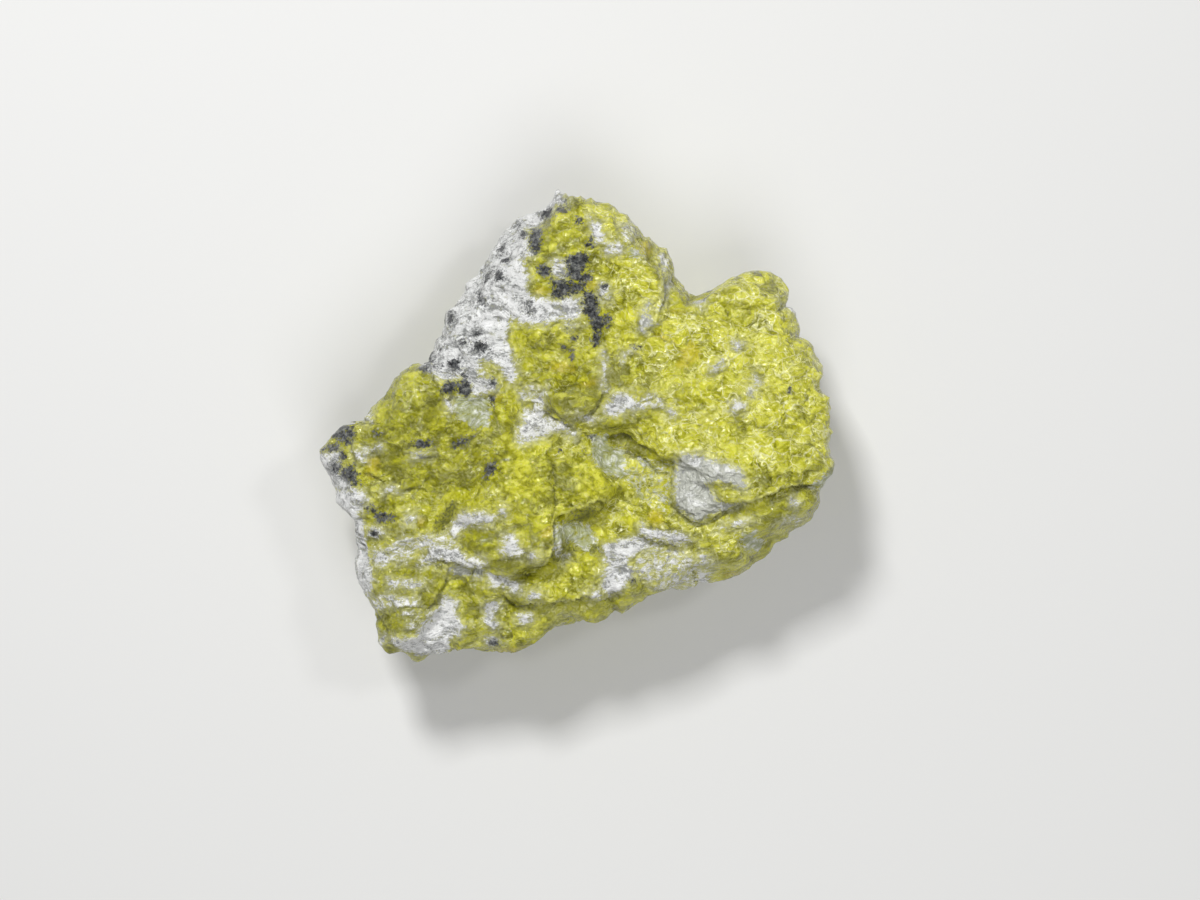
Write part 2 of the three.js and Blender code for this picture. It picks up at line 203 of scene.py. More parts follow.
PATCHES = (
    Patch(Mineral.WHITE, "shoulder of the crown", (
        (-4, 52), (-2.6, 49.6), (-1.8, 47.4), (-2.2, 46.2), (-4.5, 45.9), (-6.7, 44.2),
        (-7.8, 43.2), (-8.3, 42.4), (-10.3, 42), (-10.2, 39), (-9.6, 36.8), (-8.8, 35.8),
        (-11, 34.6), (-10.6, 33), (-10, 31.5), (-10, 28.5), (-9.3, 27), (-5.5, 26.4), (-3.2, 26.3),
        (-1.2, 27.3), (1, 26.6), (0.9, 25.6), (1.6, 24.3), (1.2, 23.4), (0.3, 22.4), (-1.3, 21.4),
        (-3, 22), (-6, 21.2), (-9.5, 21), (-13.3, 22), (-14.3, 20), (-14.2, 17), (-13.4, 14.5),
        (-12.4, 12), (-12.8, 9.3), (-13.8, 8.6), (-15.4, 10.5), (-16, 12.3), (-17.5, 13),
        (-19.5, 13.2), (-20.5, 11.5), (-18, 10), (-16.2, 8.7), (-17, 7.2), (-18.5, 6.5), (-21.5, 6),
        (-22, 8), (-24, 9.8), (-26, 9.5), (-28.3, 9.3), (-29.5, 10.5), (-31, 11.5), (-32.5, 12.5),
        (-33, 15), (-31, 20), (-30, 25), (-26, 30), (-22.5, 35), (-18.5, 41), (-15, 44.5),
        (-10, 47), (-7, 48), (-6, 52),
    )),
    Patch(Mineral.WHITE, "vein of the crown", (
        (2.6, 44.2), (3.8, 43.2), (5.2, 43.2), (5, 41), (5.8, 40), (5.8, 38), (4, 37.8),
        (3.5, 39.8), (2.9, 41.5),
    )),
    Patch(Mineral.WHITE, "mottle of the crown", (
        (6, 38.4), (8.2, 38.4), (9.8, 37.8), (9.5, 36), (8.6, 35.2), (6.9, 35.4), (6.2, 37),
    ), 0.5),
    Patch(Mineral.WHITE, "wisps of the crown", (
        (9.5, 41.6), (11, 42.2), (12.6, 41.6), (12.4, 40), (11, 38.6), (9.7, 39.2),
    ), 0.2),
    Patch(Mineral.WHITE, "edge of the crown", (
        (17, 36.6), (18.2, 36.5), (19.2, 34.8), (19.5, 32.8), (18.6, 32.6), (17.7, 34),
        (17.1, 35.3),
    ), 0.7),
    Patch(Mineral.WHITE, "fleck of the crown", (
        (5.2, 29.9), (6.3, 29.6), (6.9, 28), (6.8, 25.9), (5.5, 26), (4.5, 27.4), (4.8, 28.6),
    )),
    Patch(Mineral.WHITE, "wedge in the grains", (
        (-5.3, 34.4), (-3.5, 34.9), (-2.5, 34.2), (-1.7, 33.2), (-2.1, 31.5), (-2.2, 30.5),
        (-4, 30.6), (-5.3, 32),
    ), 0.8),
    Patch(Mineral.WHITE, "middle window", (
        (5.4, 3), (6.4, 5), (7.7, 6.8), (9.5, 7.2), (11.6, 6.4), (12.9, 5.3), (15.2, 4.7),
        (14.9, 3.8), (12.5, 3.1), (10.5, 3), (8.5, 2.4), (6.5, 2.4),
    )),
    Patch(Mineral.WHITE, "middle hollow", (
        (-11.9, -3.8), (-12, 0), (-10.9, 2.8), (-9.7, 4), (-8.7, 4.5), (-6.9, 4), (-6.6, 2.5),
        (-4.7, 1.6), (-4, 1), (-3, 0.4), (-1.2, -0.2), (0.4, -1.8), (0.1, -2.7), (-1.6, -2.3),
        (-2.6, -1.2), (-4.5, -1), (-6, -1.8), (-8.5, -3), (-10.8, -3.7),
    )),
    Patch(Mineral.WHITE, "veil of the hollow", (
        (-11.7, 7), (-9, 8), (-6.2, 7.4), (-6.6, 4.5), (-8.7, 5), (-11.7, 5.3),
    ), 0.3),
    Patch(Mineral.WHITE, "bar", (
        (12.7, -20.9), (14, -20.5), (15.3, -21.4), (18, -21.7), (21.5, -21.9), (23.4, -22.6),
        (23.6, -24), (22.7, -25.2), (20.5, -24.6), (18.5, -24.4), (16, -24), (14.3, -23.4),
        (12.8, -22.6),
    )),
    Patch(Mineral.WHITE, "block", (
        (5.4, -25), (7.5, -24.1), (10, -23.3), (12.5, -23.1), (14.5, -24), (17, -24.8), (18, -25.2),
        (15.5, -25.6), (13.5, -26.1), (11.3, -27.4), (11, -29), (12.5, -29.7), (14.7, -29.2),
        (13.6, -30.4), (12, -31.6), (10, -33.6), (8.5, -35.2), (6.5, -35.6), (5.1, -33.7),
        (5.4, -31), (6.4, -29.5), (5.6, -28.4),
    )),
    Patch(Mineral.WHITE, "cap of the round nodule", (
        (-27, -22.6), (-25.9, -19.8), (-24.5, -18.3), (-21.5, -17.8), (-18, -18.2), (-16.2, -19.2),
        (-17, -20.6), (-20, -20.5), (-23, -20.6), (-24.3, -21.6), (-25, -23.6),
    )),
    Patch(Mineral.WHITE, "fold", (
        (-33, -27.8), (-31.6, -25.8), (-30, -24.8), (-28, -24.6), (-25.3, -25.1), (-24.3, -26),
        (-23, -27), (-21.5, -27.4), (-20.4, -26.7), (-19.2, -27.8), (-18.7, -28.7), (-19.8, -29.8),
        (-23, -29.6), (-26, -28.9), (-28.5, -28.5), (-29.6, -28.1), (-31, -29), (-33, -29.5),
    )),
    Patch(Mineral.WHITE, "wisps over the fold", (
        (-40, -25.4), (-36, -23.6), (-31, -22.8), (-27, -22.6), (-25, -24.6), (-29, -24.4),
        (-33, -25.6), (-36, -28.5), (-39.5, -28.5),
    ), 0.4),
    Patch(Mineral.WHITE, "left fleck", (
        (-43.2, -25.9), (-41, -25.5), (-39.4, -26.4), (-38.9, -28), (-40.5, -29.5), (-42.3, -29),
    )),
    Patch(Mineral.WHITE, "left rim", (
        (-51.5, -13.3), (-48, -13.3), (-46.5, -13), (-44.4, -14.2), (-43.3, -15.8), (-44.5, -17),
        (-45.3, -18.2), (-44.3, -21.5), (-44.2, -25), (-43.3, -28), (-42.8, -31), (-42.9, -34),
        (-44.3, -36.3), (-48, -35), (-50, -28), (-50, -21), (-54, -17),
    )),
    Patch(Mineral.WHITE, "left tip", (
        (-57, -5.3), (-53.5, -5.6), (-51.5, -5.3), (-50, -5.2), (-49.7, -8), (-49, -10.5),
        (-47, -12.3), (-46.5, -13.5), (-50, -13.8), (-54, -14), (-57, -9),
    )),
    Patch(Mineral.WHITE, "veil of the left tip", (
        (-47.2, -3.8), (-46, -5), (-44.5, -5.5), (-42.8, -5.4), (-44, -7.1), (-45.3, -8),
        (-46.6, -6.5),
    ), 0.8),
    Patch(Mineral.WHITE, "lower left streak", (
        (-39.8, -31.6), (-36.5, -31.9), (-33, -32.4), (-31.6, -33.8), (-34, -34.4), (-37.5, -33.8),
        (-39.2, -33.4),
    ), 0.8),
    Patch(Mineral.WHITE, "lower left wisps", (
        (-43.2, -36.5), (-40.5, -35.4), (-37, -35.8), (-33.4, -36.1), (-32.8, -37.8),
        (-36.5, -37.8), (-40, -37.8), (-42, -38.6),
    ), 0.4),
    Patch(Mineral.WHITE, "bottom left corner", (
        (-27.5, -35.6), (-26, -35.8), (-25, -37), (-25.2, -39), (-24.3, -40.5), (-23.3, -42),
        (-24.5, -43.5), (-26.7, -45.5), (-26.5, -47), (-28.5, -50), (-32, -49), (-35.5, -47.5),
        (-37.5, -46.2), (-39.7, -45), (-38.5, -43.9), (-36, -44), (-34, -43.8), (-33, -42),
        (-31.5, -40.3), (-30, -38.6), (-28.5, -37.1),
    )),
    Patch(Mineral.WHITE, "flank of the terrace", (
        (-19, -30.4), (-15.5, -30.8), (-14, -31.6), (-12.4, -32.3), (-11.2, -34), (-13, -34.6),
        (-15, -33.8), (-18, -33.6),
    )),
    Patch(Mineral.WHITE, "streak of the terrace", (
        (-19.3, -37), (-17.5, -36.4), (-15.8, -37.5), (-16.7, -39), (-17.2, -40.5), (-15.7, -42),
        (-17.5, -43.1), (-19.3, -41),
    ), 0.8),
    Patch(Mineral.WHITE, "mottle of the slope", (
        (13.5, -26.3), (18, -25.5), (23, -26.8), (25.5, -28), (27.8, -27), (29, -29), (27.8, -31.5),
        (29, -34), (24, -36), (18.5, -35), (15, -32.5), (12, -30.5),
    ), 0.15),
    Patch(Mineral.CREAM, "dust of the slope", (
        (13.5, -25), (18, -24.5), (24, -25.8), (29, -26), (31, -29), (29, -34), (24, -37),
        (18.5, -36), (13, -32.5), (10, -30.5),
    )),
    Patch(Mineral.WHITE, "foot of the left slab", (
        (-15.7, -25.6), (-14.6, -22.3), (-13.3, -22.2), (-12, -24), (-10.4, -26), (-12, -27),
        (-15, -27),
    )),
    Patch(Mineral.SILVER, "silver face", (
        (20.8, -5.6), (23, -5.6), (25, -6.1), (28, -6.9), (30, -7.4), (32, -8), (33.5, -9),
        (35.2, -10), (34.7, -11.5), (35.7, -13.1), (34, -12.7), (32, -12.2), (30, -12), (28, -11.7),
        (27.2, -12.3), (28, -13.6), (29, -15.1), (31, -15.8), (34.7, -16.3), (32.5, -17),
        (30.5, -17.7), (29, -18.7), (27, -19.7), (25.5, -20), (23.8, -19.5), (22, -18.2),
        (20.6, -17), (20.1, -14.5), (20.3, -12), (20.1, -10), (20.9, -8),
    )),
    Patch(Mineral.SILVER, "grey strip", (
        (15.2, 25.6), (13.5, 24), (13.3, 22.8), (12.8, 20.5), (13.1, 19.4), (14.6, 19.4),
        (15.2, 20.5), (16.2, 21.2), (15.2, 22.6), (15.4, 24),
    )),
    # Painted shadow: grey silver laid in the shade under the fold.
    Patch(Mineral.SILVER, "under the fold", (
        (-26.8, -29.4), (-23, -29.9), (-19.5, -29.9), (-18, -31.4), (-21, -31.9), (-26.8, -31.4),
    )),
    Patch(Mineral.CREAM, "crust of the silver face", (
        (27.6, -8), (30, -8.2), (33, -9.5), (34.3, -10.8), (32, -11.7), (28.2, -11.2),
    ), 0.6),
    Patch(Mineral.CREAM, "cap of the crown", (
        (2, 45.6), (4, 46.3), (6.8, 45.6), (9.4, 44.6), (8.2, 43.4), (5.5, 43.5), (3.5, 43.2),
        (2.3, 44.2),
    )),
    Patch(Mineral.CREAM, "top rim", (
        (-1.5, 50.5), (3, 49.5), (8, 48), (11, 45.2), (9.5, 44.6), (6.5, 46), (2.5, 46.8),
        (-1, 47.6),
    ), 0.6),
    Patch(Mineral.CREAM, "leafy fan", (
        (5, -15.6), (9, -15.5), (12, -17.4), (14.7, -19), (14, -21), (11, -22.6), (8, -22.9),
        (5.5, -20), (4.4, -18),
    ), 0.4),
    Patch(Mineral.CREAM, "head of the right slab", (
        (-5, -4.2), (-1, -4), (3, -4.4), (4, -6), (0.5, -6), (-2.5, -6.5), (-4.6, -7.8),
    ), 0.6),
    Patch(Mineral.CREAM, "crust of the lobe's edge", (
        (9.8, 0.4), (12, 0.5), (15, -1.3), (19, -3.6), (21, -5), (19.5, -6.2), (15.5, -4.2),
        (12.5, -2.4), (10.5, -1.1),
    ), 0.9),
    Patch(Mineral.CREAM, "crust of the left shoulder", (
        (-36.7, 10.5), (-34, 11.5), (-31.4, 10.6), (-30.1, 9), (-31.4, 6.9), (-33.8, 5.3),
        (-35.6, 6.3), (-37, 8.5),
    ), 0.5),
    Patch(Mineral.CREAM, "below the silver face", (
        (17.8, -19.2), (22, -20.1), (26.5, -21.1), (25.5, -22.2), (21, -21.8), (17.6, -21.5),
    ), 0.8),
    Patch(Mineral.CREAM, "below the lobe", (
        (10.5, -6.5), (15, -7.5), (19.5, -8.5), (20, -14), (18.5, -18.5), (14, -17), (10.8, -12),
    ), 0.8),
    Patch(Mineral.MIST, "veil below the lobe", (
        (10.5, -6.5), (15, -7.5), (19.5, -8.5), (20, -14), (18.5, -17.5), (14, -15), (10.8, -11),
    ), -0.25),
    Patch(Mineral.CREAM, "above the middle nodule", (
        (-4.8, 8.5), (-3.5, 9.7), (0.7, 10.6), (0.4, 9.2), (-2.5, 8.1), (-4.4, 7.2),
    ), 0.8),
    Patch(Mineral.CREAM, "crackle of the lobe", (
        (22, 2.6), (33, 2), (37, 6), (39, 14), (46, 17.5), (52, 13), (55, 4), (55, -4), (48, -5),
        (40, -6.5), (33, -6.3), (26, -5), (20, -3), (18, 0),
    ), -0.1),
    Patch(Mineral.MIST, "under the slab", (
        (-3.7, -20.6), (0, -20), (2.5, -21), (3.8, -23), (4.3, -25.5), (3, -26.7), (0.5, -25),
        (-2, -24.3), (-4, -24.6), (-4.4, -22.5),
    )),
    Patch(Mineral.MIST, "green window", (
        (3.4, -2), (6.4, -1.9), (6.6, -4), (7.5, -4.6), (9.6, -5), (10.2, -7.5), (9.6, -8.6),
        (11.2, -10), (7.5, -10.2), (4.4, -8.6), (2.9, -6), (3.4, -4),
    )),
    Patch(Mineral.MIST, "veil of the shoulder", (
        (-25.2, 5.8), (-21, 6.2), (-17.8, 5.6), (-18.1, 2), (-18.3, -0.2), (-21, -0.7),
        (-23.7, 1.4), (-25.3, 3),
    )),
    Patch(Mineral.MIST, "window of the band", (
        (34, -23.3), (36, -22.4), (38.5, -22.9), (39.4, -24.5), (37.8, -26), (35, -25.4),
    )),
    Patch(Mineral.MIST, "right rim", (
        (48.5, -12), (52, -9.8), (55, -7), (57, -10), (53, -13), (50, -13),
    ), 0.8),
    Patch(Mineral.MIST, "window of the crown", (
        (11, 37.3), (13.3, 37), (13.8, 35.5), (12, 34.6), (10.8, 35.6),
    )),
    Patch(Mineral.MOSS_AND_SHADE, "mossy crease", (
        (-25.2, -15), (-24.9, -17), (-26, -19.2), (-27.6, -21.7), (-29.8, -22.5), (-30.4, -21),
        (-28.7, -19.3), (-27.2, -17.5),
    )),
    Patch(Mineral.DARK, "peak grain", (
        (-8, 45.2), (-6, 46.2), (-4.5, 45.9), (-2, 45.7), (-2.2, 44.4), (-4, 44.5), (-4.8, 43.5),
        (-6, 43.5), (-7, 44.5),
    ), 0.7),
    Patch(Mineral.DARK, "upper grain", (
        (-10.2, 42.3), (-8, 42.4), (-7.5, 41), (-7.4, 38), (-7.9, 36.4), (-9, 35.8), (-9.8, 37),
        (-10, 39), (-9.9, 41),
    ), 1.0),
    Patch(Mineral.DARK, "head of the chain", (
        (-2.5, 34.6), (-1, 35.7), (0.5, 35.9), (2, 36.4), (2.7, 35.3), (2.3, 33.2), (1.1, 32.2),
        (1.3, 31.7), (2.6, 32.1), (3.3, 31), (2.5, 30), (1.2, 29.8), (-1, 30.2), (-2.1, 31),
        (-2.1, 32), (-1.5, 33.2),
    ), 1.1),
    Patch(Mineral.DARK, "middle of the chain", (
        (-5.3, 30.4), (-3, 30.5), (-1, 30.2), (1.7, 29.6), (1.3, 28.3), (0.5, 27.6), (-1, 27.5),
        (-2, 27), (-3.5, 26.5), (-5.1, 27.1), (-5.3, 28.8),
    ), 0.6),
    Patch(Mineral.DARK, "tail of the chain", (
        (1.6, 36.9), (2.6, 36.9), (3.6, 37.4), (3.4, 39), (3.1, 39.9), (2.3, 39.1), (1.7, 37.8),
    ), 0.8),
    Patch(Mineral.DARK, "foot of the chain", (
        (1.7, 28.3), (3.5, 27.9), (4.1, 26.8), (4.4, 25.4), (4.5, 24.4), (5.1, 22.8), (5.4, 22),
        (6, 22.3), (6.6, 23.1), (7.3, 22.4), (7.4, 21.2), (6.6, 20.6), (5.3, 20.7), (5, 20),
        (5.1, 18), (5, 16.8), (3.8, 16.6), (3, 17.5), (3.6, 19.5), (3.5, 21), (3.1, 22),
        (1.9, 22.8), (0.9, 23.4), (1.7, 24.6), (0.9, 25.8), (1.9, 26.6),
    ), 1.1),
    Patch(Mineral.DARK, "foot of the shoulder", (
        (-28.3, 7.5), (-27.5, 8.9), (-26, 9.3), (-25, 8.9), (-23.5, 9.7), (-22.2, 9), (-21.9, 7.5),
        (-22.5, 6.1), (-24, 6.7), (-25, 7.8), (-26, 6.9), (-27.5, 6.2),
    ), 1.0),
    Patch(Mineral.DARK, "left tip, top", (
        (-52.5, -2), (-50.5, 1), (-48.4, 1.3), (-46.2, 0.5), (-47.4, -0.7), (-46, -1.9),
        (-47.8, -2.6), (-46.7, -3.9), (-48.5, -3.9), (-49.5, -3), (-51, -2.6),
    ), 1.0),
    Patch(Mineral.DARK, "left tip, middle", (
        (-55.5, -4.8), (-53.3, -3.9), (-51.5, -3.8), (-50.1, -4.1), (-50, -5), (-51.5, -5.4),
        (-52.8, -5.2), (-54.3, -6),
    ), 1.0),
    Patch(Mineral.DARK, "left tip, lower", (
        (-52.2, -8.5), (-50, -7.8), (-48.8, -8.8), (-50, -10), (-51.6, -9.8),
    ), 0.9),
    Patch(Mineral.DARK, "left tip, foot", (
        (-49.4, -9.5), (-48, -8.3), (-46.4, -8.1), (-46.7, -9.3), (-45.2, -9.9), (-46.3, -10.9),
        (-45, -12), (-46.8, -12.6), (-48, -12.2), (-49.4, -11),
    ), 0.7),
    Patch(Mineral.DARK, "left chain", (
        (-43.9, -16.7), (-42.5, -16.7), (-41.3, -18.1), (-40, -18.1), (-38.2, -18.7), (-38.5, -20),
        (-40.5, -20.3), (-42, -19.1), (-43.5, -17.9),
    ), 1.0),
    Patch(Mineral.OLIVE, "middle nodule", (
        (-6.3, 4.3), (-5, 6), (-3, 7.5), (0, 8.7), (3.5, 10.5), (4.7, 10.3), (5, 8), (4.4, 5),
        (3, 3.5), (1.5, 2.6), (-1, 1), (-3, 1.2), (-5, 2.3),
    )),
    Patch(Mineral.OLIVE, "below the wedge", (
        (6.5, -2.5), (9.5, -1.7), (12, -3), (15, -4.5), (18, -6), (20, -8), (17, -9.2), (14, -6.5),
        (11, -5), (8, -4.2),
    )),
    Patch(Mineral.OLIVE, "below the silver face", (
        (28, -12.2), (30, -12.5), (33.5, -12.8), (35, -13.8), (40.3, -13.8), (39.5, -14.8),
        (37, -15.3), (32, -15.6), (29.5, -15.1), (28.5, -13.6),
    )),
    Patch(Mineral.OLIVE, "lower band", (
        (30, -17.5), (34, -16.2), (39, -15.4), (44, -13.2), (50, -12.6), (52, -14), (51, -19),
        (45, -24), (39, -28.5), (32, -32.5), (30, -28), (35, -24.5), (38, -21.5), (33, -20),
    )),
    Patch(Mineral.OLIVE, "lower left nodule", (
        (-35, -30), (-31, -29.2), (-28.5, -28.3), (-27.3, -29.5), (-27, -31.5), (-28, -34),
        (-30.5, -37), (-32, -35), (-32.5, -32),
    )),
    # Painted shadow: dark olive on the shaded lower rim of the left slab.
    Patch(Mineral.OLIVE, "rim of the left slab", (
        (-18.5, -28.2), (-14, -27.4), (-10.5, -27.1), (-8, -27.5), (-6, -27.5), (-7, -29),
        (-9, -30.1), (-12, -30.6), (-15, -30.7), (-18.5, -30.4),
    )),
    # Painted shadow: dark olive on the shaded lower rim of the right slab, above its foot.
    Patch(Mineral.OLIVE, "rim of the right slab", (
        (-4.5, -17.6), (-1.5, -16.6), (2, -15.4), (5, -14.2), (6.5, -15.2), (4.5, -15.6),
        (1, -16.9), (-2, -18), (-4.5, -19),
    )),
    Patch(Mineral.BRIGHT, "left slab", (
        (-15, -6), (-10, -4.5), (-5.2, -5.5), (-5.2, -24), (-7, -26.5), (-12, -26.5), (-13, -20),
        (-15.5, -12),
    ), 0.45),
    Patch(Mineral.BRIGHT, "right slab", (
        (-4.2, -7), (0, -6.5), (3.5, -8), (6.5, -11.5), (5.5, -14.3), (1, -15.2), (-4.2, -17.3),
    ), 0.45),
    Patch(Mineral.OLIVE, "left shoulder", (
        (-40, 7), (-37, 11), (-30, 12), (-24, 8), (-19, 2), (-16, -5), (-19, -12), (-30, -14),
        (-39, -11), (-43, -3),
    ), 0.15),
    Patch(Mineral.OLIVE, "lower left", (
        (-42, -30), (-36, -28.5), (-30, -30), (-26, -34), (-30, -39), (-36, -43), (-41, -44),
        (-43, -37),
    ), 0.2),
    # Painted shade: a darker olive band along the left slab's rounded right edge.
    Patch(Mineral.OLIVE, "edge of the left slab", (
        (-5.9, -6.5), (-4.7, -6.5), (-4.7, -24), (-6.2, -24), (-6, -15),
    )),
)

